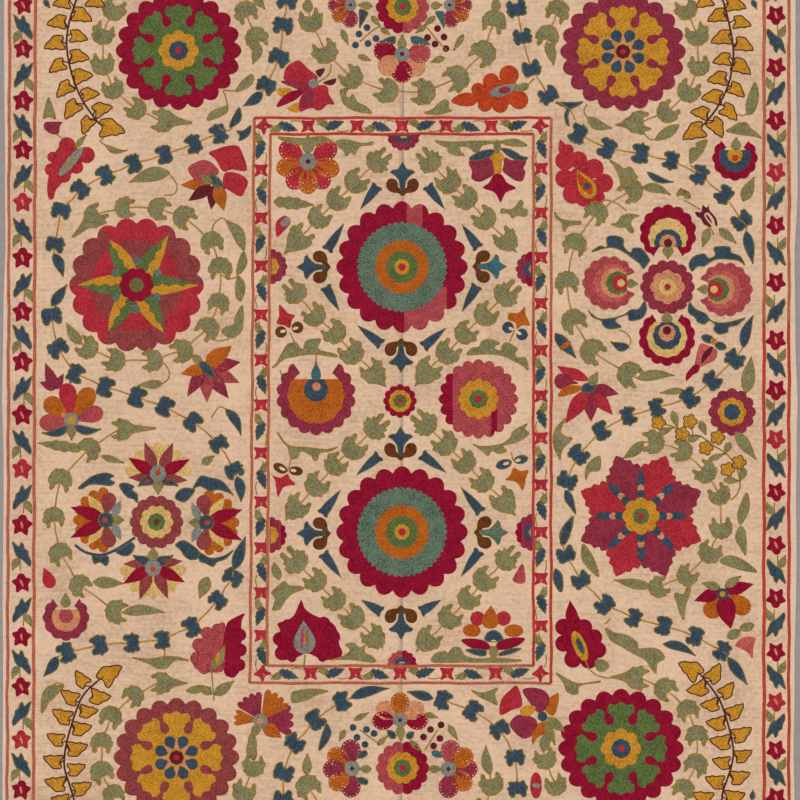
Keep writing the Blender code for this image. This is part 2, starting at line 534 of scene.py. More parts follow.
def cut(points, across, up, limit):
    """The part of an outline where across * x + up * y is at most a limit."""
    made = []
    for i, here in enumerate(points):
        before = points[i - 1]
        d_here = across * here[0] + up * here[1] - limit
        d_before = across * before[0] + up * before[1] - limit
        if (d_here <= 0) != (d_before <= 0):
            t = d_before / (d_before - d_here)
            made.append((before[0] + (here[0] - before[0]) * t, before[1] + (here[1] - before[1]) * t))
        if d_here <= 0:
            made.append(here)
    return made


def signed_area(points):
    """Area of an outline, positive when it runs anticlockwise."""
    return sum(a[0] * b[1] - b[0] * a[1] for a, b in zip(points, points[1:] + points[:1])) / 2


def drawn_in(points, distance):
    """An outline moved inwards by a distance, shortened at sharp points."""
    count = len(points)
    made = []
    for i, (x, y) in enumerate(points):
        (ax, ay), (bx, by) = points[i - 1], points[(i + 1) % count]
        first = hypot(x - ax, y - ay) or 1.0
        second = hypot(bx - x, by - y) or 1.0
        nx = -(y - ay) / first - (by - y) / second
        ny = (x - ax) / first + (bx - x) / second
        length = hypot(nx, ny)
        if length < 0.25:
            made.append((x + (ax + bx - 2 * x) * 0.08, y + (ay + by - 2 * y) * 0.08))
            continue
        reach = min(distance * 2 / length, 0.3 * min(first, second) + 0.1, distance * 2)
        made.append((x + nx / length * reach, y + ny / length * reach))
    return made


def inside(points, x, y):
    """Whether a place lies inside an outline."""
    found = False
    for i, (bx, by) in enumerate(points):
        ax, ay = points[i - 1]
        if (ay > y) != (by > y) and x < (bx - ax) * (y - ay) / (by - ay) + ax:
            found = not found
    return found


class Stitching:
    """One joined mesh of many small raised areas and lines, each in its own silk."""

    def __init__(self, name):
        self.name = name
        self.points = []
        self.faces = []
        self.silks = []
        self.rounded = []
        self.slots = []

    def slot(self, silk):
        if silk not in self.slots:
            self.slots.append(silk)
        return self.slots.index(silk)

    def lift(self, x, y, height):
        """Add a point at a height above the cotton, all in millimetres."""
        self.points.append((x * MM, y * MM, ground_rise(x * MM, y * MM) + height * MM))
        return len(self.points) - 1

    def face(self, corners, silk, rounded):
        self.faces.append(corners)
        self.silks.append(silk)
        self.rounded.append(rounded)

    def top(self, level):
        return (sizes().stitch_height + level * sizes().layer_height) / MM

    def fill(self, outline, silk, level=0):
        """An area of laid stitches: a flat top on its outline, chamfered down into the cotton."""
        loop = [p for i, p in enumerate(outline) if hypot(p[0] - outline[i - 1][0],
                p[1] - outline[i - 1][1]) > 0.15]
        if len(loop) < 3:
            return
        if signed_area(loop) < 0:
            loop.reverse()
        slot = self.slot(silk)
        top = self.top(level)
        low = max(-SUNK, top - 0.6)
        inner = drawn_in(loop, CHAMFER)
        outer_ids = [self.lift(x, y, low) for x, y in loop]
        inner_ids = [self.lift(x, y, top) for x, y in inner]
        count = len(loop)
        for i in range(count):
            j = (i + 1) % count
            self.face((outer_ids[i], outer_ids[j], inner_ids[j], inner_ids[i]), slot, False)
        extra = self.middle_points(inner)
        corners = [Vector(p) for p in inner + extra]
        made = delaunay_2d_cdt(corners, [], [list(range(count))], 1, 1e-4)
        index = []
        for place, origins in zip(made[0], made[3]):
            first = origins[0] if origins else -1
            index.append(inner_ids[first] if 0 <= first < count else self.lift(place.x, place.y, top))
        for face in made[2]:
            ids = [index[k] for k in face]
            if len(set(ids)) < 3:
                continue
            if signed_area([tuple(made[0][k]) for k in face]) < 0:
                ids.reverse()
            self.face(ids, slot, False)

    def middle_points(self, outline):
        """A loose grid of points inside a large area, so it follows the cotton's waves."""
        xs, ys = [p[0] for p in outline], [p[1] for p in outline]
        if max(xs) - min(xs) < 2 * INNER_STEP or max(ys) - min(ys) < 2 * INNER_STEP:
            return []
        near = drawn_in(outline, 3.0)
        made = []
        for row in range(ceil((max(ys) - min(ys)) / INNER_STEP)):
            y = min(ys) + (row + 0.5) * INNER_STEP
            for column in range(ceil((max(xs) - min(xs)) / INNER_STEP)):
                x = min(xs) + (column + 0.5 + 0.5 * (row % 2)) * INNER_STEP
                if inside(near, x, y):
                    made.append((x, y))
        return made

    def line(self, path, width, silk, level=0, closed=False):
        """A low line of stitches along a path, rounded down at both sides."""
        slot = self.slot(silk)
        top = self.top(level) + LINE_RISE
        low = max(-SUNK, top - 0.8)
        count = len(path)
        rows = []
        for i, (x, y) in enumerate(path):
            before = path[i - 1] if i or closed else path[0]
            after = path[(i + 1) % count] if i < count - 1 or closed else path[-1]
            dx, dy = after[0] - before[0], after[1] - before[1]
            length = hypot(dx, dy) or 1.0
            nx, ny = -dy / length * width / 2, dx / length * width / 2
            rows.append(
                [self.lift(x + nx * share, y + ny * share, height)
                 for share, height in ((1, low), (LINE_FLAT, top), (-LINE_FLAT, top), (-1, low))]
            )
        for i in range(count if closed else count - 1):
            a, b = rows[i], rows[(i + 1) % count]
            for k in range(3):
                self.face((a[k], a[k + 1], b[k + 1], b[k]), slot, True)
        if not closed:
            self.face(rows[0][::-1], slot, False)
            self.face(rows[-1], slot, False)

    def edged(self, outline, silk, edge, level=0, width=2.2):
        """A filled area with a line of another silk round its edge."""
        loop = outline if signed_area(outline) > 0 else outline[::-1]
        self.fill(loop, silk, level)
        self.line(drawn_in(loop, width * 0.4), width, edge, level, closed=True)

    def finish(self, slot_name):
        """Make the object, with one material for each silk."""
        mesh = bpy.data.meshes.new(self.name)
        mesh.from_pydata(self.points, [], self.faces)
        for silk in self.slots:
            mesh.materials.append(silk_material(silk))
        mesh.polygons.foreach_set("material_index", self.silks)
        mesh.polygons.foreach_set("use_smooth", self.rounded)
        mesh.update()
        made = bpy.data.objects.new(self.name, mesh)
        bpy.context.scene.collection.objects.link(made)
        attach(made, "root")
        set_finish(made, slot_name)
        return made


# Vines

Vine = namedtuple("Vine", "silk tail points leaf size", defaults=(1.0,))
PANEL_VINE_SIZE = 1.08

OLIVE_VINES = (
    Vine("olive", (-417, 555), ((-473, 559), (-527, 581), (-574, 621), (-595, 670), (-595, 731),
            (-573, 780)), None),
    Vine("olive", None, ((-309, 778), (-288, 726)), ((-284, 716), (-295, 671))),
    Vine("olive", None, ((189, 759), (168, 695), (115, 644), (48, 616), (-25, 618), (-96, 644), (-149, 695),
                         (-178, 757)), ((-183, 775), (-183, 806)), 1.12),
    Vine("olive", None, ((-185, -772), (-151, -829), (-96, -890), (-29, -925), (48, -925), (115, -890),
            (168, -826),
                         (183, -770)), ((180, -750), (172, -690)), 1.12),
    Vine("olive", None, ((316, 780), (295, 730)), ((293, 716), (307, 669))),
    Vine("olive", (431, 550), ((476, 555), (534, 575), (577, 616), (598, 667), (595, 729), (573, 780)),
        None),
    Vine("olive", (-655, 326), ((-611, 367), (-552, 385), (-484, 383), (-433, 367), (-377, 317), (-359, 265),
                                (-362, 195), (-383, 144), (-435, 99), (-494, 79), (-570, 79), (-624, 104)),
         ((-637, 112), (-667, 155))),
    Vine("olive", (-484, -56), ((-555, -59), (-621, -97), (-679, -158), (-693, -233), (-681, -306),
            (-642, -370),
                                (-569, -423)), ((-555, -425), (-471, -425))),
    Vine("olive", None, ((464, 420), (394, 376), (350, 313), (333, 237), (346, 160), (383, 98), (457, 52)),
         ((474, 43), (549, 49)), 1.1),
    Vine("olive", None, ((516, -375), (573, -352), (619, -306), (642, -258), (640, -191), (612, -145),
            (566, -102),
                         (508, -84)), ((487, -83), (445, -117))),
    Vine("olive", (-422, -566), ((-476, -566), (-532, -591), (-578, -632), (-597, -684), (-598, -743),
                                 (-574, -788)), None),
    Vine("olive", (423, -553), ((474, -556), (529, -577), (575, -619), (594, -670), (593, -728),
            (568, -777)), None),
    Vine("olive", None, ((-313, -785), (-293, -734)), ((-292, -721), (-298, -673))),
    Vine("olive", None, ((312, -772), (291, -719)), ((286, -704), (302, -658))),
)
BLUE_VINES = (
    Vine("blue", None, ((-362, 533), (-412, 512), (-471, 491), (-533, 473), (-589, 450), (-639, 422),
            (-678, 380),
                        (-690, 312)), ((-693, 293), (-674, 246))),
    Vine("blue", None, ((-697, 169), (-685, 104), (-650, 53), (-590, 26), (-527, 6), (-471, -13),
            (-415, -43),
                        (-363, -87), (-332, -140)), ((-326, -153), (-318, -204))),
    Vine("blue", None, ((-334, -354), (-364, -400), (-416, -454), (-475, -480), (-536, -486), (-601, -490),
                        (-667, -505)), ((-685, -513), (-713, -553))),
    Vine("blue", None, ((-226, 800), (-234, 750), (-242, 686), (-267, 630)), ((-275, 616), (-314, 588))),
    Vine("blue", None, ((297, 609), (263, 662), (245, 726), (233, 782)), None),
    Vine("blue", None, ((684, 358), (649, 410), (600, 450), (543, 479), (482, 493), (415, 503), (357, 532)),
        None),
    Vine("blue", None, ((334, -162), (357, -110), (402, -62), (456, -32), (513, -15), (579, 4), (624, 38),
                        (669, 81)), ((686, 104), (707, 170))),
    Vine("blue", None, ((645, -502), (591, -473), (528, -452), (468, -436), (410, -410), (362, -361),
                        (332, -310)), ((325, -291), (347, -232))),
    Vine("blue", None, ((-234, -798), (-233, -746), (-211, -687), (-170, -640), (-117, -603)),
         ((-99, -596), (-22, -577))),
    Vine("blue", None, ((85, -600), (145, -621), (199, -658), (230, -714), (235, -777)), None),
)
PANEL_VINES = (
    Vine("olive", (-230, 294), ((-201, 324), (-163, 364), (-126, 400), (-89, 436), (-45, 477)), None),
    Vine("olive", (233, 295), ((212, 321), (170, 362), (133, 403), (98, 436), (60, 477)), None),
    Vine("olive", (-29, 27), ((-53, 56), (-96, 94), (-130, 135), (-170, 168), (-209, 214)), None),
    Vine("olive", (31, 30), ((55, 58), (94, 94), (130, 133), (170, 170), (212, 211)), None),
    Vine("olive", (-229, -240), ((-206, -214), (-168, -171), (-130, -130), (-94, -97), (-50, -56)), None),
    Vine("olive", (230, -230), ((207, -201), (166, -163), (130, -125), (91, -88), (51, -48)), None),
    Vine("olive", (-33, -497), ((-53, -474), (-94, -436), (-130, -400), (-168, -362), (-209, -323)), None),
    Vine("olive", (33, -502), ((56, -479), (98, -436), (136, -398), (168, -360), (212, -319)), None),
)
EDGES = {"olive": "ochre", "green": "ochre", "blue": "moss", "sea": "moss", "gold": "bark"}


def heading_of(here, there):
    """The direction from one place to another, in degrees."""
    return degrees(atan2(there[1] - here[1], there[0] - here[0]))


def sew_vine(sewing, vine, end_fingers=False):
    """A chain of ragged leaves joined by short stems, with a tail or a leaf at its ends."""
    places = vine.points
    for i, here in enumerate(places):
        ahead = places[i + 1] if i + 1 < len(places) else None
        if ahead:
            turn = heading_of(here, ahead)
        elif vine.leaf:
            turn = heading_of(here, vine.leaf[0])
        else:
            turn = heading_of(places[i - 1], here)
        tail = 0.0
        if i == 0 and vine.tail:
            turn = heading_of(vine.tail, here)
            tail = hypot(here[0] - vine.tail[0], here[1] - vine.tail[1])
        half = OLIVE_LEAF if vine.silk == "olive" else BLUE_LEAF
        if end_fingers and not ahead:
            half = FINGER_LEAF
        size = vine.size * (0.98 + 0.05 * sin(here[0] * 0.7 + here[1]))
        sewing.edged(vine_leaf(half, *here, turn, size, tail), vine.silk, EDGES[vine.silk], width=VINE_EDGE)
        if ahead:
            run = heading_of(here, ahead)
            start, end = at(*here, turn, 8), at(*ahead, run + 180, LEAF_BACK[vine.silk])
            middle = at((start[0] + end[0]) / 2, (start[1] + end[1]) / 2, run + 90, 1.8 * sin(here[1]))
            sewing.line([start, middle, end], STEM_WIDTH, "stem")
    if vine.leaf:
        base, tip = vine.leaf
        start = at(*places[-1], heading_of(places[-1], base), 9)
        sewing.edged(part_outline("leaf", *base, *tip, 22, 0.06), vine.silk, EDGES[vine.silk], width=2.4)
        sewing.line([start, at(*base, heading_of(base, tip), 3)], STEM_WIDTH, "stem")


# Rosettes and flowers

def dotted_petal(sewing, x, y, angle, reach, width, silk):
    """A round petal with small pale stitches sewn along its edge."""
    near, far = at(x, y, angle, reach * 0.12), at(x, y, angle, reach)
    sewing.fill(part_outline("round", *near, *far, width), silk)
    middle = at(x, y, angle, reach * 0.64)
    for i in range(PETAL_DOTS):
        spread = -118 + 236 * i / (PETAL_DOTS - 1)
        dot = at(*middle, angle + spread, width * 0.45 - 1.5 * abs(sin(radians(spread))))
        sewing.fill([at(*dot, 60 * k, 1.8) for k in range(6)], "cream" if i % 2 else "peach", 1)


PETAL_DOTS = 11


def dotted_flower(sewing, x, y, petals, reach, width, heart):
    """A ring of dotted petals round a plain heart."""
    for angle, silk in petals:
        dotted_petal(sewing, x, y, angle, reach, width, silk)
    sewing.fill(scallops(x, y, reach * 0.27, 7, 0.08), heart, 1)
    sewing.fill(scallops(x, y, reach * 0.08, 5, 0.05, each=3), "maroon", 2)


Ring = namedtuple("Ring", "x y radius lobes depth silk level")


MEDALLION_RINGS = (
    (132, 20, 0.10, "crimson", 0),
    (91, 44, 0.05, "teal", 1),
    (55, 30, 0.06, "orange", 2),
    (33, 18, 0.07, "green", 3),
    (16, 10, 0.08, "gold", 4),
    (8, 6, 0.08, "red", 5),
)


def sew_medallion(sewing, x, y, faded):
    """A large medallion of rings; a faded one has two stretches of its outer ring in pink."""
    for radius, lobes, depth, silk, level in MEDALLION_RINGS:
        outline = scallops(x, y, radius, lobes, depth)
        sewing.fill(outline, silk, level + 1 if faded and level else level)
        if faded and level == 0:
            foot = cut(outline, 0, 1, y - 40)
            sewing.fill(cut(cut(foot, -1, 0, -(x + 4)), 1, 0, x + 90), "pink", 1)
            head = cut(outline, 0, -1, 40 - y)
            sewing.fill(cut(cut(head, -1, 0, -(x + 9)), 1, 0, x + 41), "pink", 1)


ARM = ((0, 94), (8, 88), (14, 93), (19, 86), (20.5, 77), (17, 71), (15, 63), (18, 57), (22.5, 55))


def arabesque(x, y, turn=0.0, scale=1.0):
    """An eight-armed shape with a keyhole between each two arms."""
    made = []
    for arm in range(8):
        axis = turn + 45 * arm
        made += [at(x, y, axis - angle, reach * scale) for angle, reach in ARM[:0:-1]]
        made += [at(x, y, axis + angle, reach * scale) for angle, reach in ARM[:-1]]
    return made


CORNER_RADIUS = 126.0
CORNER_FLAT = 0.95


def sew_corner(sewing, x, y, outer, inner, spotted):
    """A corner rosette: a lobed ring, an eight-armed shape and a small middle."""
    rim = scallops(x, y, CORNER_RADIUS, 20, 0.1)
    sewing.fill([(px, y + (py - y) * CORNER_FLAT) for px, py in rim], outer)
    sewing.fill(arabesque(x, y), inner, 1)
    for arm in range(8):
        hole = at(x, y, 22.5 + 45 * arm, 61)
        sewing.fill(scallops(*hole, 9.5, 8, 0.04, each=3), outer, 2)
    if spotted:
        for arm in range(8):
            near, far = at(x, y, 45 * arm, 12), at(x, y, 45 * arm, 36)
            sewing.fill(part_outline("oval", *near, *far, 8), "peach", 2)
            near, far = at(x, y, 22.5 + 45 * arm, 19), at(x, y, 22.5 + 45 * arm, 46)
            sewing.fill(part_outline("round", *near, *far, 23), "blue", 2)
        sewing.fill(scallops(x, y, 15, 8, 0.1), "maroon", 3)
        sewing.fill(scallops(x, y, 6, 6, 0.05, each=3), "red", 4)
    else:
        sewing.fill(scallops(x, y, 41, 8, 0.16), "gold", 2)
        sewing.fill(scallops(x, y, 20, 8, 0.08), "blue", 3)
        sewing.fill(scallops(x, y, 7, 6, 0.05, each=3), "red", 4)


# Stitched parts, each from its start to its end with its greatest width

Part = namedtuple("Part", "form x0 y0 x1 y1 width silk level bend")


def parts(rows):
    """Rows of parts, where the level and bend may be left out."""
    return tuple(Part(*row, *((0, 0.0)[len(row) - 7:])) for row in rows)


EDGED_SILKS = {"olive": 3.2, "blue": 3.0, "sea": 2.6}


def sew_parts(sewing, rows):
    """Sew a table of parts; greens and blues have an outline of their own."""
    for part in parts(rows):
        if part.form.startswith("fan"):
            lobes = int(part.form[3:] or 5)
            outline = fan_outline(part.x0, part.y0, part.x1, part.y1, part.width, lobes)
        elif part.form == "disc":
            outline = scallops(part.x0, part.y0, part.width, int(part.x1), part.y1)
        elif part.form == "line":
            sewing.line([(part.x0, part.y0), (part.x1, part.y1)], part.width, part.silk, part.level)
            continue
        else:
            outline = part_outline(part.form, part.x0, part.y0, part.x1, part.y1, part.width, part.bend)
        width = EDGED_SILKS.get(part.silk, 0.0)
        if width:
            sewing.edged(outline, part.silk, EDGES[part.silk], part.level, width)
        else:
            sewing.fill(outline, part.silk, part.level)


# The anchors that point at the panel's medallions

SCROLL = ((22.5, 0), (16.5, 8), (15.5, 18), (11, 28), (2, 32.5), (-7, 31.5), (-13, 25), (-12, 16), (-6, 10),
    (2, 9),
          (6, 6))
TREFOIL = ((12, 4), (-8, 7), (-14.5, 11.5), (-20, 17), (-25, 25.5), (-30, 21), (-32, 9), (-40, 4), (-47, 0))


def sew_anchor(sewing, x, y, turn, silk):
    """A brown double scroll with a three-pointed leaf behind it."""
    scroll = list(SCROLL) + [(u, -v) for u, v in SCROLL[:0:-1]]
    leaf = list(TREFOIL) + [(u, -v) for u, v in TREFOIL[-2::-1]]
    sewing.edged(moved(leaf, x, y, turn), silk, "moss", 2, 1.8)
    sewing.fill(smooth_loop(moved(scroll, x, y, turn), 3), "brown", 1)


ANCHORS = (
    (-161, 266, 0, "blue"), (167, 267, 180, "sea"), (-161, -267, 0, "blue"), (170, -265, 180, "teal"),
    (5, 430, -90, "blue"), (2, 101, 90, "blue"), (1, -99, -90, "blue"), (2, -433, 90, "blue"),
)
SPRIG_WIDTH = 26.0
SPRIGS = (
    (-147, 298, -112, 353), (-150, 228, -122, 179), (158, 303, 124, 351), (155, 230, 124, 177),
    (54, 430, 89, 382), (-44, 430, -79, 382), (-36, 110, -85, 149), (45, 105, 92, 144),
    (-40, -110, -87, -150), (42, -108, 92, -145), (-157, -230, -119, -180), (163, -226, 122, -175),
    (-155, -305, -118, -355), (160, -300, 122, -353), (-36, -425, -77, -400), (40, -424, 82, -400),
)

# Borders

BLOSSOM = (
    (90, 21), (76, 20.5), (60, 17.5), (48, 15), (36, 17), (24, 20.5), (14, 21.5), (4, 19), (-8, 15.5),
    (-22, 14.5),
    (-36, 17.5), (-48, 21), (-57, 23.5), (-66, 20), (-78, 15), (-90, 13.5),
)
BLOSSOM_LEAN = 8.0
BORDER_LEFT_Y = (790, 702, 598, 500, 395, 284, 176, 76, -30, -138, -250, -366, -474, -574, -680, -780)
BORDER_RIGHT_Y = (770, 666, 560, 456, 350, 236, 120, 20, -78, -184, -290, -396, -504, -604, -700, -796)
BORDER_PITCH = 104.0
BORDER_END = 1022.0
RAGGED_LEAF = (
    (-20, 25), (-13, 21), (-6, 15), (-2, 24), (4, 19), (6, 11), (13, 6), (14, -3), (19, -14), (17, -26),
    (8, -19),
    (1, -12), (-9, -7), (-14, 1), (-17, 12),
)


def blossom(x, y, turn, scale=1.0, flat=1.0):
    """A five-pointed border flower with one round lobe."""
    half = [at(0, 0, angle, reach) for angle, reach in BLOSSOM]
    whole = half + [(-px, py) for px, py in half[-2:0:-1]]
    return moved([(px, py * flat) for px, py in whole], x, y, turn, scale)


def sew_blossom(sewing, x, y, turn, silk):
    """A border flower with a pale slot in its middle."""
    turn = turn + BLOSSOM_LEAN * sin(y * 0.9 + x)
    sewing.fill(blossom(x, y, turn, 0.98 + 0.04 * sin(y)), silk)
    foot, head = at(x, y, turn - 72, 8), at(x, y, turn + 108, 8)
    sewing.fill(part_outline("oval", *foot, *head, 5.5), "peach", 1)


def sew_border_gap(sewing, x, y, turn, lean):
    """A blue ragged leaf, an olive leaf and the stem between two border flowers; lean is -1 or 1."""
    base, tip, foot = moved([(lean * -4, -8), (lean * -19, -33), (lean * -3, -32)], x, y, turn)
    sewing.line([base, foot], 2.8, "ochre")
    sewing.edged(part_outline("leaf", *base, *tip, 16, -0.08 * lean), "olive", "ochre", width=2.8)
    ragged = moved([(lean * px, py) for px, py in RAGGED_LEAF], x, y, turn)
    sewing.edged(smooth_loop(ragged, 2), "blue", "moss", width=2.8)


def border_stations():
    """Flower places down each side of the border, carried on past the photographed part."""
    left = [894.0] + list(BORDER_LEFT_Y) + [-884.0]
    right = [976.0, 872.0] + list(BORDER_RIGHT_Y) + [-900.0]
    return ((left, -753.5, 0.0031, 1), (right, 752.0, 0.0, -1))


def sew_border(sewing):
    """The band of flowers round the cloth's edge."""
    for stations, middle, lean, hand in border_stations():
        for i, y in enumerate(stations):
            x = middle + lean * (y - 790) * 0.9
            sew_blossom(sewing, x, y, 0 if hand > 0 else 180, "crimson" if i % 5 else "red")
            if i + 1 < len(stations):
                between = (y + stations[i + 1]) / 2
                slant = 1 if i % 2 else -1
                sew_border_gap(sewing, x, between, 0 if hand > 0 else 180, slant * hand)
    for end in (1, -1):
        count = 14
        for i in range(count):
            x = (i - (count - 1) / 2) * BORDER_PITCH
            turn = 90 if end > 0 else -90
            sew_blossom(sewing, x, end * BORDER_END, turn, "crimson" if i % 4 else "red")
            if i + 1 < count:
                sew_border_gap(sewing, x + BORDER_PITCH / 2, end * BORDER_END, turn, 1 if i % 2 else -1)


SMALL_STAR = ((90, 11), (66, 12), (46, 17), (34, 18), (18, 12), (0, 10), (-20, 11), (-36, 16), (-46, 19),
    (-60, 13),
              (-75, 9), (-90, 8))
FRAME_TOP_X = (-272, -184, -86, 4, 92, 182, 281)
FRAME_FOOT_X = (-275, -179, -89, 0, 94, 191, 281)
FRAME_LEFT_Y = (460, 364, 268, 170, 80, -10, -106, -204, -296, -386, -471)
FRAME_RIGHT_Y = (463, 374, 285, 193, 99, 8, -76, -170, -265, -357, -452)


def sew_frame_star(sewing, x, y, turn):
    """A small red flower of the inner frame, with a pale slot."""
    half = [at(0, 0, angle, reach) for angle, reach in SMALL_STAR]
    whole = half + [(-px, py) for px, py in half[-2:0:-1]]
    sewing.fill(moved(whole, x, y, turn), "red")
    foot, head = at(x, y, turn - 80, 7), at(x, y, turn + 100, 1)
    sewing.fill(part_outline("drop", *foot, *head, 4), "peach", 1)


def sew_frame_gap(sewing, x, y, turn, lean):
    """A small blue leaf, an olive one and their stem in the inner frame."""
    foot = moved([(lean * -8, -34), (lean * -11, -20), (lean * -9, -9)], x, y, turn)
    head = moved([(lean * -1, 12), (lean * 3, 22), (lean * 4, 33)], x, y, turn)
    for stem in (foot, head):
        sewing.line(smooth_path(stem, 3), 2.4, "ochre")
    base, tip = moved([(lean * 1, 8), (lean * 11, 32)], x, y, turn)
    sewing.edged(part_outline("leaf", *base, *tip, 15), "olive", "ochre", width=2.4)
    base, tip = moved([(lean * -4, 15), (lean * 9, -23)], x, y, turn)
    sewing.edged(part_outline("ragged", *base, *tip, 21), "blue", "moss", width=2.4)


def sew_inner_frame(sewing):
    """The band of small flowers round the panel."""
    for stations, y, turn in ((FRAME_TOP_X, 548, 90), (FRAME_FOOT_X, -547, 90)):
        for i, x in enumerate(stations):
            sew_frame_star(sewing, x, y, 0 if i not in (0, 6) else 45)
            if i + 1 < len(stations):
                sew_frame_gap(sewing, (x + stations[i + 1]) / 2, y, turn, 1 if i % 2 else -1)
    for stations, x, first in ((FRAME_LEFT_Y, -278, 1), (FRAME_RIGHT_Y, 282, -1)):
        column = [548] + list(stations) + [-547]
        for i, y in enumerate(column):
            if 0 < i < len(column) - 1:
                sew_frame_star(sewing, x, y, 0)
            if i + 1 < len(column):
                sew_frame_gap(sewing, x, (y + column[i + 1]) / 2, 0, first if i % 2 else -first)


# Gold sprays: a dark stem with kite-shaped leaves on both sides

Spray = namedtuple("Spray", "stem leaves")
KITE = ((22, -5), (15, 1), (11, 6), (5, 8), (-1, 14), (-9, 19), (-13, 14), (-13, 5), (-19, 1), (-21, -5),
    (-14, -11),
        (-6, -15), (4, -12), (13, -11))
GOLD_SPRAYS = (
    Spray(((-640, 880), (-645, 838), (-648, 800), (-661, 759), (-667, 711), (-658, 657), (-639, 606),
            (-614, 568), (-601, 552)),
          ((-640, 840, 205), (-625, 838, -40), (-675, 794, 205), (-685, 755, 205), (-690, 712, 215),
              (-685, 667, 230), (-671, 621, 240), (-656, 581, 250),
           (-626, 550, 262), (-610, 796, -40), (-637, 768, -40), (-644, 726, -30), (-643, 686, -25),
           (-637, 647, -10),
           (-621, 611, -12), (-596, 581, -2), (-578, 542, -28, 1.34))),
    Spray(((636, 880), (640, 838), (646, 800), (655, 767), (663, 729), (667, 698), (665, 672), (660, 642),
            (651, 616), (632, 581), (609, 552)),
          ((660, 838, -30), (612, 838, 225), (610, 796, 225), (635, 767, 220), (644, 723, 215),
              (645, 680, 210), (636, 642, 205), (626, 605, 200),
           (601, 574, 190), (589, 535, 225, 1.24), (670, 790, -30), (683, 754, -30), (687, 709, -40),
           (682, 665, -50),
           (673, 619, -55), (658, 575, -60), (633, 545, -75))),
    Spray(((-640, -880), (-645, -838), (-652, -800), (-662, -767), (-671, -737), (-671, -711), (-666, -681),
            (-657, -650), (-647, -619),
           (-637, -596), (-624, -579), (-606, -563)),
          ((-668, -838, 150), (-622, -836, 40), (-637, -558, 110), (-660, -593, 130), (-675, -631, 135),
              (-688, -677, 140), (-693, -721, 145), (-688, -766, 150),
           (-678, -800, 155), (-580, -549, 20, 1.34), (-601, -593, 15), (-624, -622, 20), (-638, -656, 25),
           (-647, -696, 30),
           (-648, -737, 35), (-637, -775, 40))),
    Spray(((604, -553), (619, -571), (637, -596), (647, -619), (655, -645), (663, -675), (667, -706),
            (663, -732),
           (655, -757), (646, -783), (644, -800), (640, -838), (636, -880)),
          ((581, -540, 165, 1.3), (596, -577, 175), (621, -609, 165), (633, -646, 160), (642, -683, 155),
              (644, -724, 150),
           (631, -762, 145), (607, -795, 140), (606, -835, 140), (660, -838, 35), (628, -547, 75),
           (654, -580, 65), (670, -622, 55), (683, -667, 45),
           (686, -710, 40), (679, -753, 35), (668, -793, 30))),
)


def sew_gold_spray(sewing, spray):
    """A dark curved stem with gold kite leaves, each outlined in brown."""
    stem = smooth_path(spray.stem, 3)
    sewing.line(stem, 4.0, "bark", 1)
    for i, (x, y, turn, *rest) in enumerate(spray.leaves):
        size = rest[0] if rest else 1.02 + 0.08 * sin(i * 2.1)
        near = min(stem, key=lambda p: hypot(p[0] - x, p[1] - y))
        flip = 1 if ((near[0] - x) * sin(radians(turn)) - (near[1] - y) * cos(radians(turn))) < 0 else -1
        sewing.line([near, at(x, y, turn, -14)], 3.0, "bark")
        outline = smooth_loop(moved(KITE, x, y, turn, size, flip), 2)
        sewing.edged(outline, "gold", "bark", 0, 3.2)


# Flowers, in tables. A ring is a lobed disc, a crescent is an open ring with discs inside it, a lobe is
# a plain round patch, and a shape is a smooth closed outline through a few points.

Crescent = namedtuple("Crescent", "x y opening gap inner flat rings")


def sew_rings(sewing, rows):
    """Sew a table of lobed discs."""
    for row in rows:
        ring = Ring(*row)
        sewing.fill(scallops(ring.x, ring.y, ring.radius, ring.lobes, ring.depth), ring.silk, ring.level)


def sew_crescent(sewing, crescent):
    """An open ring with discs inside it, cut flat on the open side; a disc is radius, offset, lobes, silk."""
    x, y, opening, gap, inner, flat, rings = crescent
    across, up = cos(radians(opening)), sin(radians(opening))
    limit = across * x + up * y + flat
    radius, lobes, silk = rings[0]
    sewing.fill(horseshoe(x, y, radius, inner, lobes, opening, gap), silk)
    for level, (radius, offset, lobes, silk) in enumerate(rings[1:]):
        disc = scallops(*at(x, y, opening, offset), radius, lobes, 0.07)
        sewing.fill(cut(disc, across, up, limit), silk, level + 1)


def sew_lobes(sewing, silk, level, rows):
    """Sew round patches of one silk that run into each other."""
    for x, y, radius in rows:
        sewing.fill([at(x, y, 24 * k, radius) for k in range(15)], silk, level)


def sew_shapes(sewing, rows):
    """Sew smooth closed shapes; greens and blues have an outline of their own."""
    for silk, level, points in rows:
        outline = smooth_loop(points, 4)
        width = EDGED_SILKS.get(silk, 0.0)
        if width:
            sewing.edged(outline, silk, EDGES[silk], level, width)
        else:
            sewing.fill(outline, silk, level)


def sew_paths(sewing, silk, width, rows):
    """Sew curved stems."""
    for points in rows:
        sewing.line(smooth_path(points, 4), width, silk)


def sector(outline, x, y, start, end):
    """The part of an outline between two directions from a middle, less than half a turn apart."""
    s, e = radians(start), radians(end)
    kept = cut(outline, sin(s), -cos(s), sin(s) * x - cos(s) * y)
    return cut(kept, -sin(e), cos(e), -sin(e) * x + cos(e) * y)


def local(x, y, turn, flip, rows):
    """Part rows drawn about their own middle, turned and moved to a place."""
    made = []
    for form, x0, y0, x1, y1, width, silk, *rest in rows:
        if form == "disc":
            ((px, py),) = moved([(x0, y0)], x, y, turn, 1.0, flip)
            made.append((form, px, py, x1, y1, width, silk, *rest))
            continue
        (ax, ay), (bx, by) = moved([(x0, y0), (x1, y1)], x, y, turn, 1.0, flip)
        if len(rest) == 2:
            rest = [rest[0], rest[1] * flip]
        made.append((form, ax, ay, bx, by, width, silk, *rest))
    return made


# The panel's flowers

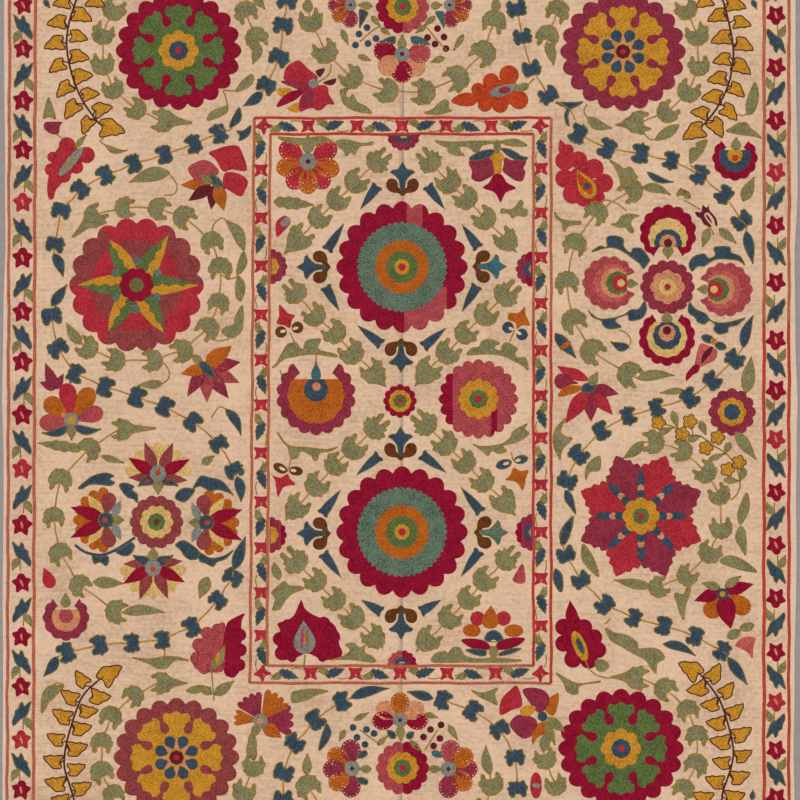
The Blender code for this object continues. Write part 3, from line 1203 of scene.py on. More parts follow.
PANEL_RINGS = (
    (0, -2, 34, 12, 0.12, "crimson", 0), (0, -2, 23, 10, 0.08, "gold", 1), (0, -2, 14, 8, 0.08, "green", 2),
    (0, -2, 6, 6, 0.05, "red", 3),
    (157, 2, 41, 12, 0.12, "gold", 2), (157, 2, 19, 8, 0.08, "green", 3), (157, 2, 8, 6, 0.05, "red", 4),
    (-167, 27, 9, 8, 0.05, "peach", 3),
    (-238, 136, 12, 9, 0.04, "brown", 0), (-205, 145, 12, 9, 0.04, "brown", 0),
    (216, 145, 12, 9, 0.04, "blue", 0), (244, 131, 12, 9, 0.04, "blue", 0),
    (155, -437, 15, 8, 0.06, "red", 0), (207, -437, 15, 8, 0.06, "red", 0),
    (187, -486, 7, 8, 0.05, "cream", 4),
)
PALMETTE_LOBES = ((-224, -452, 14), (-241, -478, 14), (-236, -506, 15), (-153, -447, 14), (-133, -474, 14),
    (-130, -505, 15),
                  (-216, -516, 9), (-155, -514, 10))
PANEL_PALMETTE = Crescent(-168, 9, 90, 35, 55, 33, (
    (80, 18, "plum"), (58, 0, 14, "orange"), (25, 12, 7, "blue")))
PANEL_PARTS = (
    ("drop", -168, 38, -168, 76, 19, "sea", 3), ("line", -168, 72, -168, 96, 3.4, "stem"),
    ("line", -220, 135, -210, 113, 3.2, "stem"), ("line", -225, -143, -216, -112, 3.2, "stem"),
    ("line", 229, 140, 219, 116, 3.2, "stem"), ("line", 226, -120, 222, -104, 3.2, "stem"),
    ("oval", -253, -129, -226, -144, 19, "brown"), ("oval", -222, -140, -194, -144, 19, "brown"),
    ("oval", 192, -133, 223, -124, 20, "blue"), ("oval", 228, -122, 256, -116, 18, "blue"),
    ("oval", -240, 136, -228, 139, 7, "cream", 1), ("oval", -203, 145, -215, 142, 7, "cream", 1),
    ("oval", -242, -134, -229, -141, 7, "cream", 1), ("oval", -207, -142, -219, -140, 7, "cream", 1),
    ("oval", 217, 145, 227, 140, 7, "cream", 1), ("oval", 243, 131, 232, 137, 7, "cream", 1),
    ("oval", 206, -129, 219, -125, 7, "cream", 1), ("oval", 242, -119, 230, -122, 7, "cream", 1),
    ("oval", -220, 364, -238, 348, 15, "grey", 1),
    ("drop", -184, 494, -184, 532, 24, "olive", 2), ("oval", 195, 494, 194, 520, 14, "olive", 3),
    ("oval", 125, -460, 162, -462, 26, "orange"), ("oval", 247, -461, 208, -462, 26, "orange"),
    ("drop", 180, -458, 182, -410, 34, "orange", 1), ("drop", 187, -492, 187, -524, 18, "olive", 3),
    ("ragged", -252, 397, -173, 390, 28, "olive"),
    ("drop", -190, -508, -193, -440, 44, "grey", 1), ("strip", -197, -496, -195, -456, 8, "pink", 2),
    ("strip", -184, -496, -188, -462, 7, "orange", 2), ("line", -190, -510, -192, -534, 3.6, "olive"),
)
PANEL_SHAPES = (
    ("olive", 0, ((-256, 65), (-247, 76), (-237, 94), (-224, 113), (-206, 114), (-202, 106), (-193, 102),
            (-192, 112), (-183, 121), (-158, 122), (-163, 102), (-130, 93), (-128, 85), (-163, 90),
            (-186, 90), (-211, 86), (-232, 81), (-247, 68))),
    ("olive", 0, ((133, 90), (143, 104), (158, 107), (163, 117), (179, 123), (199, 114), (189, 107),
            (190, 102), (202, 99), (204, 109), (214, 116), (235, 103), (230, 94), (235, 85), (250, 86),
            (256, 73), (256, 59), (245, 68), (230, 76), (214, 84), (194, 90), (166, 91))),
    ("olive", 0, ((-245, -65), (-230, -85), (-215, -92), (-185, -94), (-150, -98), (-125, -94),
            (-140, -103), (-160, -107), (-165, -120), (-172, -121), (-180, -110), (-198, -103),
            (-205, -115), (-217, -118), (-222, -108), (-225, -95), (-235, -82))),
    ("olive", 0, ((146, -88), (165, -92), (200, -88), (220, -75), (226, -62), (254, -47), (250, -58),
            (258, -68), (240, -82), (224, -88), (206, -92), (214, -102), (198, -108), (184, -102),
            (176, -112), (166, -104), (155, -96))),
    ("olive", 0, ((-243, 527), (-196, 524), (-155, 528), (-135, 517), (-155, 515), (-170, 508), (-196, 509),
            (-232, 517))),
    ("olive", 0, ((-130, 517), (-114, 522), (-94, 519), (-73, 514), (-54, 517), (-58, 509), (-79, 507),
            (-91, 491), (-99, 496), (-107, 487), (-114, 499), (-124, 507))),
    ("olive", 0, ((70, 519), (110, 517), (143, 519), (199, 518), (199, 512), (179, 512), (163, 507),
            (158, 498), (148, 496), (138, 504), (122, 507), (120, 499), (129, 489), (110, 489), (97, 496),
            (94, 504), (82, 509))),
    ("olive", 0, ((201, 517), (217, 522), (235, 522), (255, 508), (217, 508))),
    ("olive", 0, ((65, -525), (70, -507), (90, -502), (95, -507), (105, -495), (120, -495), (132, -512),
            (160, -517), (190, -515), (242, -520), (220, -525), (130, -525))),
    ("olive", 0, ((-140, -520), (-115, -512), (-100, -500), (-110, -490), (-95, -485), (-80, -495),
            (-70, -490), (-70, -505), (-55, -512), (-50, -525), (-100, -520))),
    ("olive", 0, ((240, 400), (247, 395), (245, 385), (255, 380), (252, 367), (235, 368), (224, 364),
            (217, 372), (201, 374), (204, 383), (219, 381), (230, 387))),
    ("olive", 0, ((-256, -420), (-250, -398), (-258, -385), (-245, -372), (-232, -362), (-222, -370),
            (-200, -372), (-192, -378), (-215, -388), (-228, -400), (-240, -418))),
    ("olive", 0, ((-250, -325), (-237, -345), (-242, -360), (-255, -350), (-257, -335))),
    ("red", 0, ((-242, 191), (-232, 183), (-224, 174), (-210, 169), (-216, 160), (-220, 144), (-232, 149),
            (-247, 153), (-244, 163), (-242, 170))),
    ("red", 0, ((-255, -151), (-240, -155), (-225, -148), (-220, -157), (-209, -169), (-225, -172),
            (-235, -177), (-244, -195), (-248, -175), (-250, -162))),
    ("orange", 0, ((250, 187), (251, 173), (255, 163), (260, 149), (245, 149), (233, 142), (231, 154),
            (216, 161), (218, 174), (235, 174), (242, 179))),
    ("orange", 0, ((227, -135), (242, -142), (257, -140), (252, -157), (246, -181), (235, -167),
            (225, -162), (210, -160), (220, -150))),
    ("red", 0, ((-232, 369), (-221, 363), (-220, 352), (-234, 336), (-246, 326), (-249, 341), (-247, 357))),
    ("pink", 0, ((245, -327), (250, -345), (250, -365), (235, -367), (225, -360), (232, -345))),
    ("blue", 0, ((139, 485), (153, 495), (173, 501), (189, 500), (184, 489), (163, 479), (143, 479))),
    ("blue", 0, ((201, 503), (217, 503), (232, 496), (242, 489), (255, 485), (250, 479), (230, 480),
            (214, 489))),
    ("plum", 0, ((138, 479), (158, 479), (184, 486), (189, 471), (189, 453), (176, 443), (158, 436),
            (143, 443), (144, 458), (140, 466))),
    ("plum", 0, ((209, 486), (224, 480), (252, 479), (247, 463), (251, 456), (245, 438), (230, 439),
            (214, 450), (205, 458), (207, 471))),
    ("gold", 1, ((180, 485), (194, 499), (201, 496), (210, 485), (204, 476), (204, 461), (199, 450),
            (189, 453), (186, 473))),
    ("crimson", 2, ((189, 452), (204, 450), (214, 435), (232, 424), (212, 415), (204, 400), (200, 396),
            (189, 415), (166, 424), (178, 435))),
    ("crimson", 1, ((122, -480), (145, -477), (170, -482), (182, -497), (165, -500), (140, -495))),
    ("crimson", 1, ((250, -477), (225, -475), (200, -482), (187, -497), (205, -500), (235, -492))),
    ("blue", 3, ((169, -478), (174, -466), (187, -460), (200, -466), (206, -478), (196, -484), (178, -484))),
    ("blue", 2, ((131, -500), (150, -497), (172, -500), (170, -512), (150, -510))),
    ("blue", 2, ((200, -505), (220, -497), (242, -497), (225, -507), (200, -512))),
    ("crimson", 0, ((-197, -400), (-190, -417), (-172, -430), (-137, -445), (-125, -462), (-122, -485),
            (-117, -505), (-127, -517), (-155, -520), (-185, -507), (-210, -517), (-235, -520),
            (-250, -510), (-245, -495), (-250, -477), (-240, -462), (-245, -447), (-225, -440),
            (-212, -430), (-205, -415))),
)
SPLIT_ROSETTES = (
    (7, 532, 34, "plum", "plum", 7, "blue", (0, 1, 531)),
    (4, -531, 31, "pink", "crimson", 4, "blue", (0, -1, 530)),
    (-261, 267, 36, "plum", "plum", -240, "gold", (-1, 0, 259)),
    (-263, -270, 37, "plum", "crimson", -240, "gold", (-1, 0, 261)),
    (267, 262, 36, "plum", "crimson", 250, "blue", (1, 0, 265)),
    (268, -265, 38, "crimson", "plum", 244, "blue", (1, 0, 265)),
)
DOTTED_CORNER = ((150, "red"), (30, "red"), (195, "orange"), (-18, "orange"), (235, "red"), (270, "orange"),
    (306, "red"))


def sew_panel_flowers(sewing):
    """The flowers, buds and branches between the medallions and in the panel's corners."""
    sew_rings(sewing, PANEL_RINGS)
    sew_crescent(sewing, PANEL_PALMETTE)
    sew_lobes(sewing, "crimson", 0, PALMETTE_LOBES)
    sew_parts(sewing, PANEL_PARTS)
    sew_shapes(sewing, PANEL_SHAPES)
    rosette = scallops(157, 2, 80, 20, 0.1)
    sewing.fill(cut(rosette, 1, 0, 106), "crimson")
    sewing.fill(cut(rosette, -1, 0, -106), "pink")
    sewing.fill(cut(cut(cut(rosette, -1, 0, -182), 1, 0, 195), 0, 1, -18), "crimson", 1)
    for x, y, radius, first, second, change, heart, (across, up, limit) in SPLIT_ROSETTES:
        outline = cut(scallops(x, y, radius, 14, 0.1), across, up, limit)
        sewing.fill(cut(outline, 1, 0, change), first)
        sewing.fill(cut(outline, -1, 0, -change), second)
        sewing.fill(cut(scallops(x, y, radius * 0.55, 8, 0.12), across, up, limit - 2), heart, 1)
        sewing.fill(cut(scallops(x, y, radius * 0.28, 6, 0.1), across, up, limit - 3), "peach", 2)
    dotted_flower(sewing, -184, 477, DOTTED_CORNER, 66, 40, "grey")


# The star rosette at the upper left

STAR_X, STAR_Y = -527, 230
STAR_PETALS = ((90, "red", "dusk"), (150, "dusk", "red"), (210, "red", "dusk"), (270, "dusk", "red"),
               (330, "red", "dusk"), (30, "dusk", "red"))
STAR_ARMS = ((0, 125), (57.5, 121), (121, 106), (180, 119), (238.7, 110), (300, 111))
ARM_EDGE = ((20, 13), (36, 19), (55, 20), (85, 13))
ARM_TEETH = ((0.82, 2.5), (0.74, -2.5), (0.62, 2.5), (0.52, -2.5), (0.42, 2.5), (0.34, -2.5))


def sew_star(sewing):
    """Six petals in two reds, with a six-armed star over them, each arm half green and half gold."""
    x, y = STAR_X, STAR_Y
    outer, inner = scallops(x, y, 135, 18, 0.09), scallops(x, y, 92, 24, 0.05)
    sewing.fill(outer, "dusk")
    for middle, silk, inner_silk in STAR_PETALS:
        if silk == "red":
            sewing.fill(sector(outer, x, y, middle - 30, middle + 30), silk, 1)
        sewing.fill(sector(inner, x, y, middle - 30, middle + 30), inner_silk, 2)
    for angle, reach in STAR_ARMS:
        teeth = [(reach * share, off) for share, off in ARM_TEETH]
        for side, silk in ((1, "green"), (-1, "gold")):
            half = [(u, side * v) for u, v in ARM_EDGE] + [(reach, 0)] + teeth + [(20, 0)]
            sewing.fill(moved(half, x, y, angle), silk, 3)
        spot = at(x, y, angle + 30, 48)
        sewing.fill(scallops(*spot, 9, 8, 0.05, each=3), "teal", 4)
    sew_rings(sewing, ((x, y, 35, 10, 0.12, "crimson", 5), (x, y, 15, 8, 0.06, "moss", 6)))


# The group of five flowers at the lower left

UPRIGHT_BLOOM = (
    ("fan9", -4, 0, 64, 0, 178, "straw"), ("point", 6, 6, 66, 27, 26, "dusk", 1),
    ("point", 6, -6, 64, -30, 26, "dusk", 1),
    ("point", 2, 8, 34, 60, 26, "crimson", 2), ("point", 2, -8, 31, -64, 26, "crimson", 2),
    ("point", -6, 6, -6, 60, 22, "dusk", 1), ("point", -6, -6, -12, -60, 22, "dusk", 1),
    ("leaf", -12, 4, -24, 40, 22, "blue", 1, -0.15), ("leaf", -12, -4, -24, -40, 22, "blue", 1, 0.15),
    ("disc", 2, 0, 9, 0.08, 17, "grey", 3), ("disc", 4, 0, 6, 0.06, 6, "coral", 4),
    ("drop", -12, 0, -40, 0, 22, "olive", 2),
)
SIDE_BLOOM = (
    ("fan9", 0, 0, 66, 0, 190, "orange"), ("point", 6, 8, 38, 52, 24, "straw", 1),
    ("point", 6, -8, 38, -52, 24, "straw", 1),
    ("point", 4, 4, 72, 36, 28, "crimson", 2), ("point", 4, -4, 72, -26, 28, "crimson", 2),
    ("petal", 2, 8, -9, 55, 30, "dusk", 1), ("petal", 2, -8, -9, -55, 30, "dusk", 1),
    ("leaf", -14, 8, -30, 40, 18, "grey", 2), ("leaf", -14, -8, -30, -40, 18, "grey", 2),
    ("disc", 0, 0, 8, 0.08, 16, "blue", 3), ("disc", 2, 0, 6, 0.06, 6, "coral", 4),
    ("drop", -14, 0, -36, 0, 20, "olive", 3),
)
LEFT_GROUP_RINGS = (
    (-487, -244, 54, 14, 0.09, "dusk", 0), (-487, -244, 34, 10, 0.12, "straw", 1),
    (-487, -244, 18, 8, 0.08, "green", 2),
    (-487, -244, 7, 6, 0.05, "brown", 3),
)
LEFT_GARLANDS = (
    ("blue", 0, ((-644, -176), (-630, -162), (-612, -150), (-587, -145), (-572, -152), (-580, -158),
            (-570, -165), (-580, -172), (-600, -170), (-620, -170), (-635, -178))),
    ("blue", 0, ((-562, -170), (-550, -165), (-532, -172), (-535, -180), (-525, -188), (-525, -205),
            (-535, -198), (-545, -195), (-555, -185))),
    ("blue", 0, ((-616, -311), (-600, -313), (-585, -311), (-582, -322), (-588, -332), (-600, -325),
            (-612, -328))),
    ("blue", 0, ((-566, -301), (-550, -290), (-538, -284), (-530, -293), (-540, -310), (-555, -312),
            (-568, -305))),
    ("blue", 0, ((-450, -192), (-442, -180), (-428, -175), (-410, -180), (-420, -196), (-432, -205),
            (-446, -200))),
    ("blue", 0, ((-415, -178), (-400, -152), (-380, -155), (-355, -162), (-333, -190), (-345, -185),
            (-365, -180), (-380, -183), (-400, -173))),
    ("blue", 0, ((-450, -290), (-435, -280), (-415, -290), (-400, -305), (-405, -318), (-420, -320),
            (-432, -312), (-440, -300))),
    ("blue", 0, ((-402, -304), (-380, -315), (-355, -312), (-333, -300), (-348, -318), (-366, -325),
            (-374, -334), (-388, -328), (-402, -322))),
)
LEFT_GARLAND_STEM = ((-650, -290), (-630, -304), (-600, -310), (-575, -303), (-550, -288), (-530, -275))


def sew_left_group(sewing):
    """Five flowers round a small rosette."""
    sew_rings(sewing, LEFT_GROUP_RINGS)
    sew_paths(sewing, "blue", 6.0, (LEFT_GARLAND_STEM,))
    sew_shapes(sewing, LEFT_GARLANDS)
    sew_parts(sewing, local(-484, -149, 90, 1, UPRIGHT_BLOOM))
    sew_parts(sewing, local(-494, -334, -90, -1, UPRIGHT_BLOOM))
    sew_parts(sewing, local(-588, -240, 180, 1, SIDE_BLOOM))
    sew_parts(sewing, local(-387, -245, 0, -1, SIDE_BLOOM))


# The group of five flowers at the upper right

RIGHT_GROUP_RINGS = (
    (535, 226, 55, 14, 0.1, "plum", 0), (535, 226, 35, 8, 0.14, "peach", 1),
    (535, 226, 18, 8, 0.08, "straw", 2),
    (535, 226, 7, 6, 0.05, "red", 3),
)
RIGHT_CRESCENTS = (
    Crescent(536, 334, -90, 32, 30, 28, (
        (57.5, 14, "crimson"), (40, 9, 12, "straw"), (28.5, 20, 10, "blue"), (17.5, 20, 8, "peach"),
        (9, 20, 5, "maroon"))),
    Crescent(534, 125, 90, 32, 39, 31, (
        (57.5, 14, "crimson"), (41, 0, 12, "straw"), (29, 4, 10, "blue"), (17.5, 9, 8, "peach"),
        (9, 14, 5, "maroon"))),
    Crescent(651, 221, 180, 22, 27, 35, (
        (55, 14, "pink"), (40, 7, 10, "rose"), (31, 12, 10, "peach"), (24, 16, 8, "green"),
        (17, 21, 6, "red"), (8, 23, 5, "straw"))),
    Crescent(419, 234, 0, 22, 27, 35, (
        (55, 14, "pink"), (40, 7, 10, "rose"), (31, 12, 10, "peach"), (24, 16, 8, "green"),
        (17, 21, 6, "red"), (8, 23, 5, "straw"))),
)
RIGHT_GROUP_PARTS = (
    ("drop", 536, 307, 536, 282, 22, "olive", 2), ("drop", 534, 154, 534, 178, 22, "olive", 2),
    ("drop", 454, 234, 476, 232, 18, "olive", 2), ("drop", 616, 221, 594, 222, 18, "olive", 2),
)
RIGHT_GARLANDS = (
    ("blue", 0, ((577, 272), (588, 288), (609, 293), (617, 284), (630, 290), (627, 304), (640, 308),
            (660, 306), (663, 295), (681, 288), (690, 270), (676, 278), (655, 281), (635, 281), (622, 276),
            (609, 267), (596, 267), (584, 257))),
    ("blue", 0, ((579, 196), (591, 183), (612, 173), (622, 160), (642, 155), (665, 158), (691, 165),
            (676, 150), (658, 145), (655, 135), (637, 131), (627, 142), (630, 150), (619, 158), (609, 151),
            (596, 155), (589, 165), (576, 176))),
    ("blue", 0, ((383, 296), (400, 309), (413, 306), (413, 326), (431, 329), (447, 323), (448, 308),
            (461, 295), (466, 304), (484, 303), (499, 283), (498, 275), (487, 262), (479, 272), (464, 283),
            (451, 293), (433, 302), (415, 304))),
    ("blue", 0, ((376, 179), (385, 172), (400, 163), (426, 165), (446, 170), (461, 181), (477, 183),
            (489, 198), (494, 181), (484, 163), (459, 158), (454, 170), (431, 160), (443, 147), (431, 142),
            (415, 142), (405, 150), (402, 158), (385, 165))),
)


def sew_right_group(sewing):
    """Four crescent flowers round a small rosette, with blue leaves between them."""
    sew_rings(sewing, RIGHT_GROUP_RINGS)
    for crescent in RIGHT_CRESCENTS:
        sew_crescent(sewing, crescent)
    sew_parts(sewing, RIGHT_GROUP_PARTS)
    sew_shapes(sewing, RIGHT_GARLANDS)


# The rosette of eight petals at the lower right

EIGHT_X, EIGHT_Y = 482, -232
EIGHT_PETALS = ((67.5, "red"), (22.5, "plum"), (-22.5, "red"), (-67.5, "plum"), (-112.5, "red"),
    (-157.5, "plum"),
                (157.5, "red"), (112.5, "plum"))
EIGHT_EDGE = ((-22.5, 98), (-19, 106), (-14, 104), (-12, 114), (-7, 116), (-4, 124), (0, 131), (4, 124),
    (7, 116),
              (12, 114), (14, 104), (19, 106), (22.5, 98))


def sew_eight(sewing):
    """Eight pointed petals in two reds, with spokes and a gold heart."""
    x, y = EIGHT_X, EIGHT_Y
    for middle, silk in EIGHT_PETALS:
        sewing.fill([(x, y)] + [at(x, y, middle + angle, reach) for angle, reach in EIGHT_EDGE], silk)
    for i in range(8):
        near, far = at(x, y, 45 * i, 30), at(x, y, 45 * i, 92)
        sewing.fill(part_outline("oval", *at(x, y, 45 * i, 44), *far, 16), "blue", 1)
        sewing.fill(part_outline("oval", *at(x, y, 45 * i, 46), *at(x, y, 45 * i, 64), 14), "peach", 2)
        sewing.fill(part_outline("oval", *near, *at(x, y, 45 * i, 53), 18), "blue", 3)
    sew_rings(sewing, ((x, y, 38, 8, 0.16, "gold", 4), (x, y, 17, 8, 0.08, "green", 5),
            (x, y, 7, 6, 0.05, "red", 6)))


# Single flowers of the left side

LEFT_LOBES = (
    ("red", 0, ((-666, 509, 17), (-627, 490, 17), (-647, 466, 14), (-672, 448, 14), (-695, 486, 11),
            (-698, 461, 13))),
    ("crimson", 0, ((-320, -470, 13), (-319, -500, 13), (-322, -530, 13), (-336, -545, 11))),
    ("pink", 0, ((-386, -466, 13), (-402, -490, 14), (-406, -517, 14), (-392, -537, 12), (-366, -458, 11))),
)
LEFT_RINGS = (
    (-657, -41, 15, 8, 0.08, "grey", 3), (-657, -41, 8, 6, 0.06, "gold", 4),
    (-673, -30, 5, 6, 0.06, "peach", 0),
    (-279, -642, 15, 8, 0.08, "grey", 3), (-279, -642, 7, 6, 0.06, "peach", 4),
    (-173, 633, 10, 8, 0.08, "grey", 4),
)
LEFT_CRESCENTS = (
    Crescent(-668, -435, 90, 35, 28, 16, ((47, 12, "plum"), (29, 0, 8, "peach"), (15, 3, 6, "pink"))),
)
LEFT_PARTS = (
    ("oval", -682, 448, -634, 506, 19, "grey", 1), ("leaf", -672, 462, -644, 496, 7, "ochre", 2),
    ("leaf", -650, 505, -627, 531, 12, "olive", 1),
    ("point", -378, 432, -440, 430, 28, "orange"),
    ("point", -366, 430, -352, 378, 30, "orange", 1), ("point", -378, 428, -424, 398, 26, "maroon", 1),
    ("point", -372, 428, -378, 380, 24, "maroon"), ("leaf", -390, 446, -350, 422, 18, "blue", 3, 0.1),
    ("leaf", -376, 456, -360, 420, 16, "sea", 2, -0.1), ("drop", -376, 434, -404, 452, 14, "olive", 4),
    ("leaf", -388, 70, -336, 108, 34, "orange", 1), ("point", -388, 64, -440, 52, 26, "orange", 1),
    ("point", -384, 66, -318, 76, 32, "plum"), ("point", -384, 62, -320, 34, 32, "pink"),
    ("point", -386, 60, -342, 2, 32, "plum"), ("point", -388, 60, -386, -6, 30, "pink"),
    ("point", -392, 62, -426, 6, 28, "plum"), ("leaf", -402, 78, -366, 40, 20, "blue", 2),
    ("drop", -398, 76, -420, 92, 16, "olive", 3),
    ("petal", -661, -44, -722, -46, 34, "pink", 1), ("petal", -661, -38, -710, 2, 38, "orange"),
    ("petal", -657, -34, -668, 34, 36, "red", 1), ("petal", -652, -36, -616, 24, 38, "orange"),
    ("petal", -650, -40, -594, -22, 34, "pink", 1), ("leaf", -661, -52, -716, -66, 18, "blue", 2, 0.12),
    ("leaf", -653, -52, -598, -58, 18, "blue", 2, -0.12), ("drop", -657, -50, -657, -80, 20, "olive", 3),
    ("drop", -688, 24, -722, 36, 20, "plum"), ("drop", -690, 22, -710, 76, 24, "plum"),
    ("drop", -690, 22, -672, 54, 18, "plum"),
    ("drop", -669, -414, -669, -386, 20, "olive", 3), ("drop", -696, -376, -713, -334, 26, "red"),
    ("fan4", -279, -642, -306, -590, 62, "plum"), ("fan4", -279, -642, -240, -590, 58, "orange"),
    ("fan4", -279, -642, -212, -640, 62, "plum"), ("fan3", -279, -642, -332, -634, 40, "orange"),
    ("point", -274, -650, -236, -676, 30, "orange"), ("leaf", -297, -665, -293, -720, 18, "olive", 2),
    ("drop", -284, -650, -296, -676, 18, "olive", 4),
    ("oval", -362, -504, -368, -532, 9, "gold", 3),
)
LEFT_SHAPES = (
    ("red", 0, ((-680, 508), (-660, 512), (-640, 498), (-634, 480), (-652, 458), (-672, 438), (-688, 420),
            (-693, 403), (-703, 403), (-706, 430), (-700, 462), (-694, 488))),
    ("plum", 0, ((-709, 556), (-690, 557), (-675, 556), (-680, 548), (-682, 534), (-692, 531), (-705, 536),
            (-713, 546))),
    ("olive", 0, ((-714, 563), (-702, 566), (-689, 562), (-692, 580), (-703, 606), (-711, 583))),
    ("red", 0, ((-383, 494), (-364, 503), (-349, 508), (-326, 509), (-316, 496), (-306, 459), (-336, 461),
            (-354, 457), (-369, 481))),
    ("red", 0, ((-351, 453), (-336, 456), (-316, 450), (-304, 438), (-308, 422), (-318, 407), (-336, 415),
            (-354, 430))),
    ("pink", 1, ((-425, 462), (-400, 479), (-385, 479), (-372, 471), (-362, 458), (-369, 448), (-400, 433))),
    ("crimson", 0, ((-310, -427), (-325, -432), (-345, -445), (-352, -470), (-355, -500), (-352, -545),
            (-340, -554), (-322, -545), (-320, -527), (-317, -490), (-317, -445))),
    ("pink", 0, ((-350, -447), (-370, -452), (-382, -470), (-412, -482), (-408, -500), (-415, -520),
            (-405, -540), (-355, -543), (-350, -500))),
    ("olive", 1, ((-350, -490), (-357, -500), (-375, -520), (-377, -537), (-365, -535), (-352, -520))),
    ("red", 1, ((-229, 639), (-232, 652), (-226, 667), (-214, 675), (-201, 679), (-183, 662), (-165, 647),
            (-169, 637), (-183, 632))),
    ("plum", 2, ((-239, 637), (-221, 639), (-175, 632), (-178, 624), (-196, 619), (-224, 629))),
    ("gold", 0, ((-244, 624), (-221, 624), (-216, 619), (-234, 606), (-246, 614))),
    ("gold", 0, ((-226, 583), (-204, 596), (-202, 578), (-211, 575))),
    ("crimson", 1, ((-247, 586), (-237, 604), (-221, 616), (-201, 621), (-191, 619), (-204, 604),
            (-224, 593))),
    ("red", 2, ((-191, 621), (-158, 630), (-145, 626), (-142, 611), (-131, 592), (-145, 591), (-155, 582),
            (-166, 579), (-175, 584), (-188, 581), (-201, 577), (-202, 596), (-196, 611))),
    ("plum", 3, ((-188, 616), (-174, 620), (-172, 604), (-176, 590), (-188, 585), (-198, 584), (-198, 598))),
    ("maroon", 3, ((-169, 657), (-158, 663), (-150, 662), (-160, 646))),
    ("maroon", 3, ((-154, 634), (-145, 639), (-128, 643), (-130, 634), (-140, 629))),
    ("olive", 0, ((-119, 621), (-104, 624), (-108, 611), (-103, 604), (-94, 611), (-84, 596), (-68, 588),
            (-56, 574), (-76, 574), (-99, 581), (-114, 593), (-119, 609))),
)

# Single flowers of the right side

RIGHT_LOBES = (
    ("red", 0, ((330, 479, 20), (329, 443, 19), (345, 412, 20), (357, 480, 18), (388, 463, 20),
            (408, 434, 19),
                (360, 440, 26), (384, 418, 24), (368, 404, 18), (396, 406, 14), (336, 500, 12))),
    ("coral", 0, ((218, 650, 20), (182, 637, 17), (156, 621, 14), (170, 591, 15), (200, 591, 17),
            (238, 600, 19))),
    ("crimson", 0, ((327, -454, 17), (327, -487, 17), (346, -518, 18), (368, -455, 17), (388, -475, 17),
                    (396, -500, 17), (360, -490, 26), (378, -520, 18), (346, -440, 14))),
)
RIGHT_RINGS = (
    (664, -24, 48, 12, 0.12, "plum", 0), (664, -24, 29, 8, 0.12, "gold", 1),
    (664, -24, 17, 7, 0.08, "blue", 2),
    (670, 484, 7, 6, 0.06, "coral", 4), (374, 428, 7, 6, 0.05, "blue", 3),
    (285, -633, 10, 8, 0.08, "blue", 3), (645, -388, 12, 8, 0.08, "blue", 3),
    (645, -388, 6, 6, 0.06, "gold", 4),
)
GOLD_BUDS = ((580, -43), (564, -68), (635, -75), (612, -96), (678, -125), (655, -139), (517, -45))
RIGHT_CRESCENTS_BELOW = (
    Crescent(670, 484, 90, 38, 27, 16, ((46, 12, "crimson"), (33, 4, 9, "blue"), (16, 6, 8, "gold"))),
)
RIGHT_PARTS = (
    ("point", 330, 490, 320, 522, 20, "red"), ("drop", 386, 404, 353, 462, 36, "gold", 1),
    ("point", 374, 18, 330, -48, 34, "red"), ("point", 380, 16, 382, -44, 32, "plum"),
    ("point", 384, 18, 426, -30, 30, "red"),
    ("point", 386, 24, 438, 12, 28, "plum"), ("oval", 362, 20, 392, 28, 22, "blue", 2),
    ("drop", 380, 30, 396, 56, 20, "olive", 3),
    ("drop", 580, 404, 560, 424, 14, "olive"),
    ("oval", 603, 127, 628, 118, 17, "blue", 2), ("oval", 630, 112, 652, 104, 17, "blue", 2),
    ("disc", 627, 117, 6, 0.08, 7, "gold", 3), ("oval", 196, 618, 222, 621, 14, "plum", 2),
    ("leaf", 612, 372, 625, 352, 5, "crimson", 1),
    ("drop", 345, -448, 340, -400, 25, "crimson"), ("oval", 347, -462, 372, -522, 26, "gold", 1),
    ("oval", 354, -476, 367, -508, 13, "blue", 2),
    ("leaf", 296, -636, 330, -664, 20, "olive", 1), ("leaf", 292, -642, 310, -690, 16, "olive", 1),
    ("leaf", 640, -376, 604, -366, 18, "olive", 2), ("leaf", 650, -374, 682, -352, 18, "olive", 2),
    ("point", 640, -384, 588, -402, 28, "crimson", 1), ("point", 650, -382, 708, -368, 28, "crimson", 1),
    ("petal", 642, -386, 616, -436, 38, "orange"), ("petal", 652, -384, 698, -426, 38, "orange"),
    ("leaf", 646, -390, 662, -458, 40, "crimson", 1),
    ("oval", 655, -475, 680, -462, 20, "olive", 1), ("oval", 680, -458, 708, -450, 18, "olive", 1),
    ("oval", 272, -744, 272, -798, 24, "red"), ("strip", 264, -770, 281, -772, 10, "grey", 1),
    ("drop", 672, 500, 672, 526, 20, "olive", 3),
)
